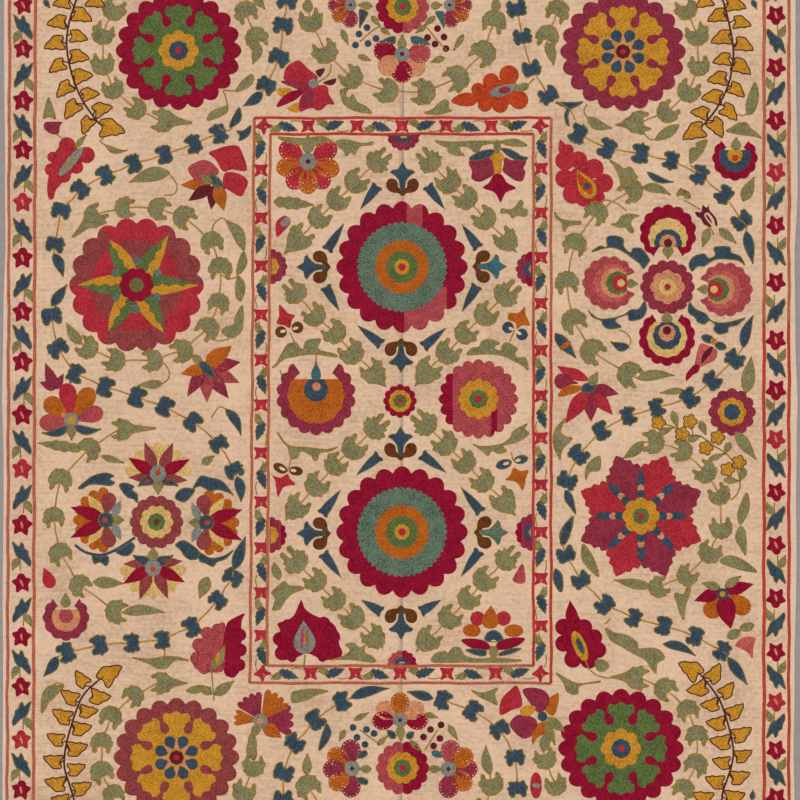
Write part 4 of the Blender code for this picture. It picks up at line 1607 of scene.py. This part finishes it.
RIGHT_SHAPES = (
    ("crimson", 0, ((330, -450), (350, -434), (372, -448), (388, -470), (392, -500), (376, -522),
            (352, -526), (330, -500), (322, -470))),
    ("olive", 1, ((390, -524), (400, -519), (413, -523), (418, -533), (408, -543), (395, -541))),
    ("red", 1, ((315, 68), (332, 66), (357, 61), (375, 45), (375, 38), (352, 39), (329, 50), (319, 61))),
    ("plum", 1, ((310, 45), (321, 53), (337, 48), (350, 38), (357, 33), (339, 30), (321, 22), (310, 30))),
    ("orange", 0, ((316, 7), (326, 25), (344, 30), (365, 27), (357, 17), (339, 10))),
    ("coral", 2, ((356, 455), (367, 446), (382, 433), (386, 420), (381, 411), (368, 418), (359, 431),
            (355, 445))),
    ("coral", 0, ((102, 597), (115, 610), (133, 615), (153, 610), (154, 596), (143, 588), (122, 588))),
    ("coral", 0, ((153, 621), (179, 637), (217, 640), (240, 625), (240, 598), (199, 588), (166, 591),
            (150, 601))),
    ("grey", 1, ((179, 615), (189, 624), (204, 630), (219, 632), (235, 632), (222, 615), (204, 607),
            (186, 607))),
    ("olive", 1, ((230, 626), (240, 632), (252, 634), (257, 628), (252, 620), (240, 617), (231, 619))),
    ("maroon", 0, ((590, 377), (602, 376), (605, 390), (613, 385), (618, 390), (619, 380), (632, 364),
            (635, 349), (631, 349), (627, 362), (617, 374), (609, 372), (612, 362), (624, 346), (609, 350),
            (602, 362), (594, 367))),
    ("rose", 0, ((600, 112), (617, 109), (633, 101), (635, 91), (628, 79), (601, 66), (589, 66), (591, 81))),
    ("crimson", 1, ((590, 71), (600, 68), (596, 56), (586, 50), (573, 38), (572, 50), (579, 61))),
    ("maroon", 1, ((617, 104), (626, 107), (623, 94), (614, 84), (604, 73), (604, 89))),
    ("red", 0, ((200, -630), (202, -600), (220, -580), (235, -572), (245, -610), (225, -620))),
    ("plum", 0, ((245, -580), (265, -575), (290, -582), (300, -600), (290, -620), (275, -625), (255, -600))),
    ("orange", 0, ((290, -620), (295, -600), (317, -586), (315, -615), (305, -632))),
    ("plum", 0, ((220, -645), (235, -630), (260, -632), (275, -645), (265, -670), (245, -677), (225, -660))),
    ("orange", 0, ((265, -690), (265, -660), (280, -645), (300, -645), (295, -665), (275, -675))),
    ("gold", 1, ((240, -620), (255, -610), (272, -615), (262, -630), (245, -632))),
    ("olive", 0, ((142, -580), (165, -585), (195, -576), (190, -590), (195, -610), (175, -602),
            (160, -595))),
    ("rose", 0, ((670, -490), (685, -475), (710, -475), (707, -495), (705, -517), (695, -505), (680, -497))),
)
BUD_STEM = ((527, -47), (550, -55), (580, -70), (602, -73), (625, -90), (652, -107), (672, -133),
    (680, -165), (675, -187), (662, -200))
BUD_STALKS = (
    ((580, -43), (586, -70)), ((635, -75), (627, -88)), ((678, -125), (668, -128)),
    ((564, -68), (562, -60)), ((612, -96), (616, -84)), ((655, -139), (668, -134)),
)


def sew_side(sewing, lobes, rings, crescents, rows, shapes):
    """The single flowers of one side of the field."""
    for silk, level, places in lobes:
        sew_lobes(sewing, silk, level, places)
    sew_rings(sewing, rings)
    for crescent in crescents:
        sew_crescent(sewing, crescent)
    sew_parts(sewing, rows)
    sew_shapes(sewing, shapes)


def sew_buds(sewing):
    """The gold buds above the rosette of eight petals, on their winding stem."""
    sew_paths(sewing, "ochre", 3.6, (BUD_STEM,))
    sew_paths(sewing, "ochre", 2.8, BUD_STALKS)
    for x, y in GOLD_BUDS:
        sewing.edged(scallops(x, y, 15.5, 5, 0.28), "gold", "bark", 1, 2.2)


# The clusters at the top and the bottom

TOP_DOTTED = (
    (-99, 790, ((180, "plum"), (222, "orange"), (268, "plum"), (138, "orange"), (90, "plum")), 46, 32),
    (99, 790, ((0, "plum"), (-38, "orange"), (-84, "plum"), (42, "orange"), (90, "plum")), 46, 32),
    (4, 692, ((169, "crimson"), (3, "pink"), (220, "peach"), (-43, "peach"), (270, "crimson")), 58, 42),
    (4, 880, ((172, "crimson"), (8, "pink"), (134, "peach"), (46, "coral"), (90, "crimson")), 48, 32),
)
FOOT_DOTTED = (
    (-96, -737, ((94, "plum"), (142, "orange"), (182, "plum"), (224, "orange"), (266, "plum")), 59, 40),
    (97, -738, ((84, "pink"), (38, "orange"), (0, "plum"), (-42, "orange"), (270, "plum")), 59, 40),
    (0, -640, ((90, "orange"), (146, "peach"), (34, "peach"), (182, "crimson"), (-2, "crimson")), 56, 38),
    (0, -832, ((270, "orange"), (214, "peach"), (-34, "peach"), (178, "crimson"), (2, "pink")), 50, 34),
)
CLUSTER_BERRIES = (
    ("blue", ((-66, 745, 7), (-82, 732, 7), (-48, 723, 7), (-64, 713, 7), (-89, 710, 7), (-94, -655, 7),
            (-67, -659, 7),
              (-52, -667, 7), (-86, -675, 7), (-70, -689, 7))),
    ("maroon", ((75, 743, 7), (55, 725, 7), (88, 726, 7), (70, 712, 7), (92, 703, 7), (82, -650, 7),
            (61, -659, 7),
                (47, -674, 7), (80, -677, 7), (67, -692, 7))),
)
CLUSTER_STEMS = (
    ((-39, 748), (-55, 739), (-81, 716)), ((53, 746), (76, 718), (94, 698)), ((-80, -660), (-40, -690)),
    ((75, -660), (50, -700)),
)
CLUSTER_SEPALS = (
    ("blue", 0, ((-81, 782), (-64, 776), (-68, 764), (-76, 751), (-81, 744), (-82, 762))),
    ("blue", 0, ((-30, 723), (-10, 728), (-10, 713), (-22, 714), (-38, 712))),
    ("sea", 0, ((70, 776), (87, 777), (89, 762), (88, 744), (79, 759))),
    ("sea", 0, ((22, 727), (42, 726), (61, 711), (41, 712), (25, 713))),
)
CLUSTER_PARTS = (
    ("leaf", -57, 768, -40, 748, 12, "olive"), ("leaf", -38, 744, -20, 731, 12, "olive"),
    ("leaf", -117, 741, -104, 711, 14, "olive"),
    ("leaf", -84, 689, -58, 679, 13, "olive"), ("leaf", 70, 767, 48, 749, 13, "olive"),
    ("leaf", 52, 749, 31, 734, 12, "olive"),
    ("leaf", 127, 731, 107, 699, 13, "olive"), ("leaf", 89, 685, 61, 676, 14, "olive"),
    ("leaf", -92, -640, -62, -625, 12, "olive"),
    ("leaf", -110, -660, -122, -682, 13, "olive"), ("leaf", -45, -690, -25, -672, 12, "olive"),
    ("leaf", 50, -628, 75, -635, 13, "olive"),
    ("leaf", 97, -650, 115, -680, 14, "olive"), ("leaf", 20, -682, 42, -702, 13, "olive"),
    ("ragged", -66, -704, -88, -716, 16, "blue"),
    ("leaf", -58, -738, -82, -738, 16, "olive", 3), ("leaf", 58, -738, 84, -738, 16, "olive", 3),
    ("ragged", -64, -766, -90, -756, 16, "blue"),
    ("ragged", 64, -704, 86, -714, 16, "sea"), ("ragged", -10, -676, -26, -660, 16, "blue", 1),
    ("ragged", 14, -676, 28, -664, 16, "blue", 1),
    ("leaf", -56, 788, -84, 790, 16, "olive", 3), ("leaf", 62, 788, 84, 790, 16, "olive", 3),
    ("drop", 4, 704, 4, 730, 18, "olive", 3),
    ("drop", 0, -654, 2, -682, 18, "olive", 3),
)


def sew_cluster(sewing, y, left, right):
    """The rosette in the middle of a cluster, whose dye changes at the seam."""
    outline = scallops(5, y, 54, 14, 0.1)
    sewing.fill(cut(outline, 1, 0, 6), left)
    sewing.fill(cut(outline, -1, 0, -6), right)
    sew_rings(sewing, ((5, y, 33, 10, 0.12, "gold", 1), (5, y, 18, 8, 0.08, "green", 2),
            (5, y, 7, 6, 0.05, "red", 3)))


def sew_clusters(sewing):
    """Both clusters with their dotted flowers, berries and leaves."""
    sew_cluster(sewing, 786, "crimson", "pink")
    sew_cluster(sewing, -736, "pink", "crimson")
    for x, y, petals, reach, width in TOP_DOTTED + FOOT_DOTTED:
        dotted_flower(sewing, x, y, petals, reach, width, "grey")
    sew_paths(sewing, "ochre", 3.0, CLUSTER_STEMS)
    for silk, berries in CLUSTER_BERRIES:
        sew_lobes(sewing, silk, 1, berries)
    sew_shapes(sewing, CLUSTER_SEPALS)
    sew_parts(sewing, CLUSTER_PARTS)


# Loose leaves of the field, base to tip

FIELD_LEAVES = (
    ("leaf", -590, 510, -545, 500, 13, "olive", 0, -0.15),
    ("leaf", -461, 455, -542, 435, 30, "olive", 0, -0.06),
    ("leaf", -475, 33, -525, 29, 18, "olive"), ("leaf", -598, -112, -552, -126, 14, "olive"),
    ("ragged", -640, -97, -724, -86, 24, "olive"), ("leaf", -614, -364, -553, -367, 24, "olive"),
    ("leaf", -396, -128, -372, -112, 18, "olive"), ("leaf", -384, -354, -401, -397, 26, "olive"),
    ("leaf", -428, -582, -378, -575, 16, "olive"), ("leaf", -371, -590, -332, -562, 22, "olive"),
    ("leaf", -376, -588, -406, -570, 18, "olive"), ("leaf", 374, 565, 424, 544, 22, "olive", 0, -0.1),
    ("leaf", 484, 425, 541, 410, 20, "olive", 0, 0.1), ("leaf", 617, 343, 605, 306, 19, "olive"),
    ("leaf", 638, 343, 672, 314, 19, "olive"), ("leaf", 686, 398, 708, 446, 25, "olive"),
    ("leaf", 692, 14, 703, 87, 28, "olive"), ("leaf", 671, -64, 712, -119, 24, "olive"),
    ("leaf", 503, -374, 428, -360, 21, "olive"), ("leaf", -187, -750, -185, -707, 20, "olive"),
    ("leaf", -276, 800, -268, 826, 16, "olive"), ("leaf", -292, 808, -270, 782, 18, "olive"),
    ("leaf", 192, 776, 192, 808, 20, "olive"),
    ("leaf", 566, 20, 520, 14, 14, "olive"), ("leaf", 545, -22, 555, -55, 16, "olive"),
    ("leaf", 517, -67, 547, -55, 14, "olive"),
    ("leaf", 600, -42, 612, -70, 16, "olive"), ("leaf", 575, -80, 602, -72, 16, "olive"),
    ("leaf", 660, -85, 650, -107, 16, "olive"),
    ("leaf", 617, -120, 650, -107, 13, "olive"), ("leaf", 690, -137, 680, -162, 16, "olive"),
    ("leaf", 647, -160, 680, -162, 14, "olive"),
    ("leaf", 459, 106, 421, 117, 19, "blue", 0, 0.12), ("leaf", 310, 133, 352, 84, 24, "blue"),
    ("strip", 320, 101, 341, 117, 11, "orange", 1),
    ("leaf", -349, -18, -318, -71, 20, "blue", 0, 0.1), ("leaf", -697, 188, -666, 231, 22, "blue"),
    ("leaf", -332, -339, -309, -273, 24, "blue"),
    ("leaf", 692, 338, 706, 272, 22, "blue"), ("leaf", 494, 456, 547, 436, 15, "blue", 0, -0.1),
    ("leaf", 656, -515, 695, -570, 22, "blue"),
    ("leaf", 526, -488, 591, -512, 20, "blue", 0, 0.1), ("leaf", 66, -597, 14, -583, 20, "blue"),
    ("leaf", -712, 800, -700, 784, 12, "blue"), ("leaf", 704, 800, 714, 782, 12, "blue"),
    ("leaf", 704, -800, 706, -780, 12, "blue"),
)
OLIVE_SHAPES = (
    ((548, -392), (552, -385), (566, -388), (574, -372), (582, -376), (578, -395), (572, -410), (568, -440),
        (558, -425), (554, -408)),
    ((-348, 357), (-334, 355), (-316, 344), (-309, 326), (-311, 299), (-323, 308), (-332, 323)),
    ((-312, 297), (-305, 278), (-312, 260), (-326, 249), (-327, 265), (-320, 288)),
    ((-326, 247), (-315, 242), (-309, 224), (-318, 197), (-330, 211)),
    ((-315, 191), (-313, 158), (-318, 135), (-339, 123), (-357, 136), (-349, 147), (-332, 151), (-331, 165)),
    ((-329, 618), (-318, 637), (-298, 652), (-292, 644), (-298, 629), (-318, 618)),
    ((-345, 588), (-346, 575), (-367, 563), (-386, 559), (-382, 573), (-367, 583)),
    ((48, 574), (66, 583), (79, 596), (90, 601), (98, 596), (98, 583), (103, 578), (76, 570)),
    ((693, 573), (692, 596), (701, 621), (710, 637), (718, 616), (715, 591), (706, 573)),
    ((652, 537), (665, 547), (678, 555), (693, 555), (701, 545), (714, 535), (723, 523), (706, 527),
        (681, 530)),
    ((613, 521), (612, 507), (601, 489), (581, 472), (578, 489), (580, 503), (594, 507), (591, 514)),
    ((510, 522), (520, 537), (538, 549), (558, 551), (553, 537), (538, 524), (517, 519)),
    ((419, 479), (438, 471), (448, 463), (461, 467), (473, 450), (474, 443), (452, 440), (443, 425),
        (438, 445), (428, 466)),
    ((553, 408), (559, 422), (579, 415), (566, 410)),
    ((422, 352), (433, 355), (443, 369), (459, 373), (478, 369), (466, 362), (462, 352), (468, 340),
        (465, 334), (457, 337), (451, 345), (436, 345)),
    ((309, 376), (321, 364), (339, 359), (361, 358), (360, 351), (342, 349), (334, 345), (330, 337),
        (325, 341), (323, 354), (311, 364)),
    ((-672, -572), (-695, -570), (-707, -575), (-717, -592), (-718, -625), (-710, -620), (-702, -605),
        (-688, -592)),
    ((-537, -515), (-500, -517), (-470, -512), (-440, -514), (-422, -522), (-450, -522), (-467, -537),
        (-487, -537), (-505, -527)),
    ((-217, -585), (-200, -580), (-175, -577), (-142, -582), (-170, -592), (-185, -600), (-215, -606)),
    ((312, -545), (350, -565), (380, -565), (402, -563), (360, -572), (357, -585), (347, -590), (332, -582),
        (327, -567)),
    ((410, -455), (430, -465), (455, -470), (475, -485), (477, -497), (500, -495), (520, -500), (530, -517),
        (515, -527), (512, -547), (500, -535), (490, -520), (465, -507), (440, -492), (420, -480)),
    ((332, -37), (320, -45), (307, -65), (306, -90), (320, -120), (325, -100), (345, -77), (330, -72),
        (322, -60)),
    ((400, -112), (380, -122), (370, -140), (372, -160), (380, -145), (400, -140)),
    ((367, -287), (362, -310), (370, -330), (398, -355), (390, -320)),
    ((692, -185), (700, -205), (695, -230), (680, -250), (675, -225)),
    ((680, -252), (692, -265), (692, -310), (680, -295), (670, -275)),
    ((640, -325), (650, -312), (670, -312), (695, -325), (715, -345), (680, -340)),
)
BLUE_SHAPES = (
    ((-323, 586), (-316, 570), (-321, 555), (-339, 544), (-340, 555)),
    ((-298, 550), (-300, 532), (-313, 521), (-323, 519), (-321, 528), (-327, 538), (-313, 540)),
    ((311, 596), (347, 596), (366, 597), (357, 588), (342, 581), (337, 568), (339, 549), (332, 552),
        (328, 570), (332, 583), (321, 588)),
    ((330, -180), (345, -190), (352, -228), (340, -215), (329, -200)),
    ((346, -232), (345, -255), (330, -290), (320, -285), (325, -255)),
    ((310, -337), (325, -350), (326, -380), (317, -382), (306, -360)),
    ((-147, -647), (-137, -665), (-145, -685), (-162, -702), (-160, -680)),
)
FIELD_STEMS = (
    ((-592, 524), (-600, 518), (-590, 510)), ((-472, 410), (-452, 412), (-446, 430), (-461, 452)),
    ((-327, 619), (-339, 618), (-353, 619), (-348, 604), (-345, 588)),
    ((-473, 75), (-462, 58), (-464, 42), (-475, 33)),
    ((-377, 330), (-372, 352), (-356, 364), (-344, 356)), ((-359, 252), (-342, 242), (-326, 247)),
    ((-383, 130), (-366, 118), (-342, 122)), ((-672, -570), (-688, -566), (-702, -578)),
    ((-470, -500), (-472, -518)),
    ((-378, -36), (-362, -14), (-349, -18)), ((374, 592), (368, 578), (374, 565)),
    ((419, 480), (436, 470), (446, 450), (462, 426)),
    ((670, 573), (683, 569), (696, 573)), ((394, 390), (410, 400), (436, 392), (453, 378)),
    ((438, 140), (452, 134), (461, 122), (460, 110)),
    ((350, 300), (338, 312), (330, 328)), ((628, 330), (622, 342), (612, 350)),
    ((602, 452), (590, 462), (580, 470)),
    ((350, 560), (340, 580), (316, 596)), ((-362, 545), (-350, 538), (-335, 543)),
    ((676, 364), (692, 350), (692, 338)),
    ((-334, -354), (-334, -345), (-332, -339)), ((410, -448), (420, -438)),
    ((372, -522), (380, -540), (400, -553), (432, -556), (460, -548)),
    ((-240, 60), (-236, 48)), ((645, -502), (652, -508), (656, -515)), ((488, 533), (499, 522), (512, 521)),
    ((-377, -540), (-372, -600)),
    ((-688, 532), (-676, 523)), ((255, 629), (268, 644)),
    ((-138, 672), (-140, 655), (-150, 644), (-163, 637)), ((568, 400), (601, 381)),
)


# Operators

class SUZANI_OT_cloth(bpy.types.Operator):
    """Make the two cotton panels, each with its turned hem"""

    bl_idname = "suzani.cloth"
    bl_label = "Cotton panels"

    def execute(self, context):
        for side, name, node, slot in ((-1, "left_cotton_panel", "left_panel", "left_cotton"),
                                       (1, "right_cotton_panel", "right_panel", "right_cotton")):
            made = cotton_panel(side, name)
            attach(made, "root")
            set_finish(made, slot)
            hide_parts(node)
        return {"FINISHED"}


def panel_columns(side, y):
    """X of each column of the grid across one panel at a height, from left to right."""
    seam = SEAM_X_AT_MIDDLE + SEAM_LEAN * y + side * PANEL_GAP / 2
    edge = edge_x(y, LEFT_DRAWN_IN if side < 0 else RIGHT_DRAWN_IN, side)
    count = round(HALF_WIDTH / COLUMN_STEP)
    inner = edge - side * HEM_WIDTH
    spread = [seam + (inner - seam) * i / count for i in range(count + 1)]
    columns = spread + [edge - side * HEM_WIDTH * 0.9, edge - side * HEM_WIDTH * 0.12, edge]
    return columns if side > 0 else columns[::-1]


def panel_rows():
    """Y of each row of the grid, with the turned hem at both ends."""
    limit = HALF_LENGTH - HEM_WIDTH
    count = round(2 * limit / ROW_STEP)
    rows = [-limit + 2 * limit * i / count for i in range(count + 1)]
    ends = [HALF_LENGTH - HEM_WIDTH * 0.9, HALF_LENGTH - HEM_WIDTH * 0.12, HALF_LENGTH]
    return [-y for y in reversed(ends)] + rows + ends


HEM_RISE = 0.00028


def cotton_panel(side, name):
    """One panel of woven cotton as a sheet that lies in soft waves, thicker where its hem is turned."""
    built = bmesh.new()
    grid = []
    for y in panel_rows():
        columns = panel_columns(side, y)
        row = []
        for x in columns:
            edge = edge_x(y, LEFT_DRAWN_IN if side < 0 else RIGHT_DRAWN_IN, side)
            inwards = min(abs(x - edge), HALF_LENGTH - abs(y))
            fold = HEM_RISE if HEM_WIDTH * 0.1 < inwards < HEM_WIDTH * 0.95 else 0.0
            row.append(built.verts.new((x, y, ground_rise(x, y) + fold)))
        grid.append(row)
    for low, high in zip(grid, grid[1:]):
        for i in range(len(low) - 1):
            face = built.faces.new((low[i], low[i + 1], high[i + 1], high[i]))
            face.smooth = True
    mesh = bpy.data.meshes.new(name)
    built.to_mesh(mesh)
    built.free()
    mesh.materials.append(cotton_material())
    made = bpy.data.objects.new(name, mesh)
    bpy.context.scene.collection.objects.link(made)
    thick = made.modifiers.new("Cotton thickness", "SOLIDIFY")
    thick.thickness = sizes().cloth_thickness
    thick.offset = -1.0
    return made


class SUZANI_OT_lines(bpy.types.Operator):
    """Make the ruled lines of chain stitch round the border and the panel"""

    bl_idname = "suzani.lines"
    bl_label = "Ruled lines"

    def execute(self, context):
        sewing = Stitching("ruled_lines")
        for rule in RULES:
            sew_rule(sewing, rule)
        sewing.finish("left_cotton")
        return {"FINISHED"}


def rule_side(start, end, wobble):
    """Points along one straight side of a rule, a little uneven."""
    length = hypot(end[0] - start[0], end[1] - start[1])
    count = ceil(length / LINE_STEP)
    ux, uy = (end[0] - start[0]) / length, (end[1] - start[1]) / length
    made = []
    for i in range(count + 1):
        along = length * i / count
        off = 0.7 * sin(along * 0.037 + wobble) + 0.4 * sin(along * 0.11 + 2 * wobble)
        made.append((start[0] + ux * along - uy * off, start[1] + uy * along + ux * off))
    return made


def sew_rule(sewing, rule):
    """A ruled rectangle; the panel's right side is in a redder silk below its top."""
    head_left = (rule.left_top, rule.top)
    foot_left = (rule.left_foot, rule.foot)
    head_right, foot_right = (rule.right, rule.top), (rule.right, rule.foot)
    sides = (
        (head_left, foot_left, "line", 0.3), (foot_left, foot_right, "line", 1.1),
        (head_right, head_left, "redline" if "panel" in rule.name else "line", 3.0),
    )
    for start, end, silk, wobble in sides:
        sewing.line(rule_side(start, end, wobble), rule.width, silk)
    change = (rule.right, 150)
    sewing.line(rule_side(foot_right, change, 2.2), rule.width, "redline")
    sewing.line(rule_side(change, head_right, 1.6), rule.width, "line")


class SUZANI_OT_border(bpy.types.Operator):
    """Make the flowers and leaves of the outer border"""

    bl_idname = "suzani.border"
    bl_label = "Outer border"

    def execute(self, context):
        sewing = Stitching("border_flowers")
        sew_border(sewing)
        sewing.finish("left_cotton")
        return {"FINISHED"}


class SUZANI_OT_frame(bpy.types.Operator):
    """Make the small flowers between the panel's two lines"""

    bl_idname = "suzani.frame"
    bl_label = "Panel frame"

    def execute(self, context):
        sewing = Stitching("panel_frame_flowers")
        sew_inner_frame(sewing)
        sewing.finish("left_cotton")
        return {"FINISHED"}


class SUZANI_OT_panel(bpy.types.Operator):
    """Make the medallions, vines and flowers inside the panel"""

    bl_idname = "suzani.panel"
    bl_label = "Middle panel"

    def execute(self, context):
        sewing = Stitching("panel_medallions")
        sew_medallion(sewing, 4, 266, True)
        sew_medallion(sewing, 4, -264, False)
        for x, y, turn, silk in ANCHORS:
            sew_anchor(sewing, x, y, turn, silk)
        for x0, y0, x1, y1 in SPRIGS:
            sewing.edged(part_outline("dart", x0, y0, x1, y1, SPRIG_WIDTH), "blue", "moss", width=1.8)
        sewing.finish("left_cotton")
        vines = Stitching("panel_vines")
        for vine in PANEL_VINES:
            sew_vine(vines, vine._replace(size=PANEL_VINE_SIZE), True)
        vines.finish("left_cotton")
        return {"FINISHED"}


class SUZANI_OT_corners(bpy.types.Operator):
    """Make the four corner rosettes and the gold sprays beside them"""

    bl_idname = "suzani.corners"
    bl_label = "Corner rosettes"

    def execute(self, context):
        sewing = Stitching("corner_rosettes")
        sew_corner(sewing, -443, 699, "crimson", "green", False)
        sew_corner(sewing, 446, 697, "plum", "gold", True)
        sew_corner(sewing, -447, -715, "dusk", "gold", True)
        sew_corner(sewing, 442, -697, "crimson", "green", False)
        for spray in GOLD_SPRAYS:
            sew_gold_spray(sewing, spray)
        sewing.finish("left_cotton")
        return {"FINISHED"}


class SUZANI_OT_vines(bpy.types.Operator):
    """Make the olive and blue vines of the field"""

    bl_idname = "suzani.vines"
    bl_label = "Field vines"

    def execute(self, context):
        for name, vines in (("olive_vines", OLIVE_VINES), ("blue_vines", BLUE_VINES)):
            sewing = Stitching(name)
            for vine in vines:
                sew_vine(sewing, vine)
            sewing.finish("left_cotton")
        return {"FINISHED"}


class SUZANI_OT_panel_flowers(bpy.types.Operator):
    """Make the flowers and branches between the medallions and in the panel's corners"""

    bl_idname = "suzani.panel_flowers"
    bl_label = "Panel flowers"

    def execute(self, context):
        sewing = Stitching("panel_flowers")
        sew_panel_flowers(sewing)
        sewing.finish("left_cotton")
        return {"FINISHED"}


class SUZANI_OT_rosettes(bpy.types.Operator):
    """Make the large rosettes and groups of flowers in the field"""

    bl_idname = "suzani.rosettes"
    bl_label = "Field rosettes"

    def execute(self, context):
        for name, sew, slot in (("star_rosette", sew_star, "left_cotton"),
            ("left_flower_group", sew_left_group, "left_cotton"),
                                ("right_flower_group", sew_right_group, "right_cotton"),
                                ("eight_petal_rosette", sew_eight, "right_cotton"),
                                ("end_clusters", sew_clusters, "left_cotton")):
            sewing = Stitching(name)
            sew(sewing)
            sewing.finish(slot)
        return {"FINISHED"}


class SUZANI_OT_flowers(bpy.types.Operator):
    """Make the single flowers and loose leaves of the field"""

    bl_idname = "suzani.flowers"
    bl_label = "Field flowers"

    def execute(self, context):
        left = Stitching("left_field_flowers")
        sew_side(left, LEFT_LOBES, LEFT_RINGS, LEFT_CRESCENTS, LEFT_PARTS, LEFT_SHAPES)
        left.finish("left_cotton")
        right = Stitching("right_field_flowers")
        sew_side(right, RIGHT_LOBES, RIGHT_RINGS, RIGHT_CRESCENTS_BELOW, RIGHT_PARTS, RIGHT_SHAPES)
        sew_buds(right)
        right.finish("right_cotton")
        leaves = Stitching("field_leaves")
        sew_paths(leaves, "ochre", 3.0, FIELD_STEMS)
        sew_parts(leaves, FIELD_LEAVES)
        for silk, outlines in (("olive", OLIVE_SHAPES), ("blue", BLUE_SHAPES)):
            sew_shapes(leaves, [(silk, 0, outline) for outline in outlines])
        leaves.finish("left_cotton")
        return {"FINISHED"}


ROOM_STRENGTH = 0.60
LIGHT_STRENGTH = 1.78
LIGHT_SPREAD = 0.55
LIGHT_FROM = (-2.6, 2.4, 4.0)
CAMERA_LENS = 85.0
SENSOR = 36.0
VIEW_SIDE = 1.6


class SUZANI_OT_stage(bpy.types.Operator):
    """Make the floor, the soft light and the camera straight above"""

    bl_idname = "suzani.stage"
    bl_label = "Floor, light and camera"

    def execute(self, context):
        scene = context.scene
        floor_mesh = bpy.data.meshes.new("floor")
        built = bmesh.new()
        bmesh.ops.create_grid(built, x_segments=1, y_segments=1, size=6.0)
        built.to_mesh(floor_mesh)
        built.free()
        floor = bpy.data.objects.new("floor", floor_mesh)
        scene.collection.objects.link(floor)
        floor_mesh.materials.append(floor_material())
        world = bpy.data.worlds.new("soft_room")
        world.use_nodes = True
        world.node_tree.nodes["Background"].inputs["Color"].default_value = (1.0, 1.0, 1.0, 1.0)
        world.node_tree.nodes["Background"].inputs["Strength"].default_value = ROOM_STRENGTH
        scene.world = world
        lamp = bpy.data.lights.new("window_light", "SUN")
        lamp.angle = LIGHT_SPREAD
        lamp.energy = LIGHT_STRENGTH
        window = bpy.data.objects.new("window_light", lamp)
        window.location = LIGHT_FROM
        window.rotation_euler = (-window.location).to_track_quat("-Z", "Y").to_euler()
        scene.collection.objects.link(window)
        lens = bpy.data.cameras.new("overhead")
        lens.lens = CAMERA_LENS
        lens.sensor_width = SENSOR
        lens.clip_end = 100.0
        camera = bpy.data.objects.new("overhead", lens)
        camera.location = (0.0, 0.0, VIEW_SIDE * CAMERA_LENS / SENSOR + 0.0015)
        scene.collection.objects.link(camera)
        scene.camera = camera
        scene.view_settings.view_transform = "Standard"
        return {"FINISHED"}


def floor_material():
    """A plain pale floor with a faint unevenness."""
    made, tree, shader, where = new_material("pale_floor", 0.8, 0.0)
    speck = cloud(tree, where, 40.0, 3.0, (-900, 0))
    colour = ramp_between(tree, speck, ((0.290, 0.253, 0.242), (0.326, 0.284, 0.271)), (0.3, 0.7), (-500, 0))
    tree.links.new(colour, shader.inputs["Base Color"])
    return made


class SUZANI_PT_panel(bpy.types.Panel):
    """Lists the steps in which the cloth is made"""

    bl_idname = "SUZANI_PT_panel"
    bl_label = "Suzani"
    bl_space_type = "VIEW_3D"
    bl_region_type = "UI"
    bl_category = "Suzani"

    def draw(self, context):
        for step in STEPS:
            self.layout.operator(step.bl_idname)


STEPS = (
    SUZANI_OT_stage,
    SUZANI_OT_cloth,
    SUZANI_OT_lines,
    SUZANI_OT_border,
    SUZANI_OT_frame,
    SUZANI_OT_panel,
    SUZANI_OT_corners,
    SUZANI_OT_vines,
    SUZANI_OT_panel_flowers,
    SUZANI_OT_rosettes,
    SUZANI_OT_flowers,
)
CLASSES = (SuzaniColours, SuzaniSizes, *STEPS, SUZANI_PT_panel)


def register():
    for made in CLASSES:
        bpy.utils.register_class(made)
    bpy.types.Scene.suzani_colours = PointerProperty(type=SuzaniColours)
    bpy.types.Scene.suzani_sizes = PointerProperty(type=SuzaniSizes)


def unregister():
    del bpy.types.Scene.suzani_sizes
    del bpy.types.Scene.suzani_colours
    for made in reversed(CLASSES):
        bpy.utils.unregister_class(made)


def main():
    register()
    for step in STEPS:
        group, name = step.bl_idname.split(".")
        getattr(getattr(bpy.ops, group), name)()


if __name__ == "__main__":
    main()
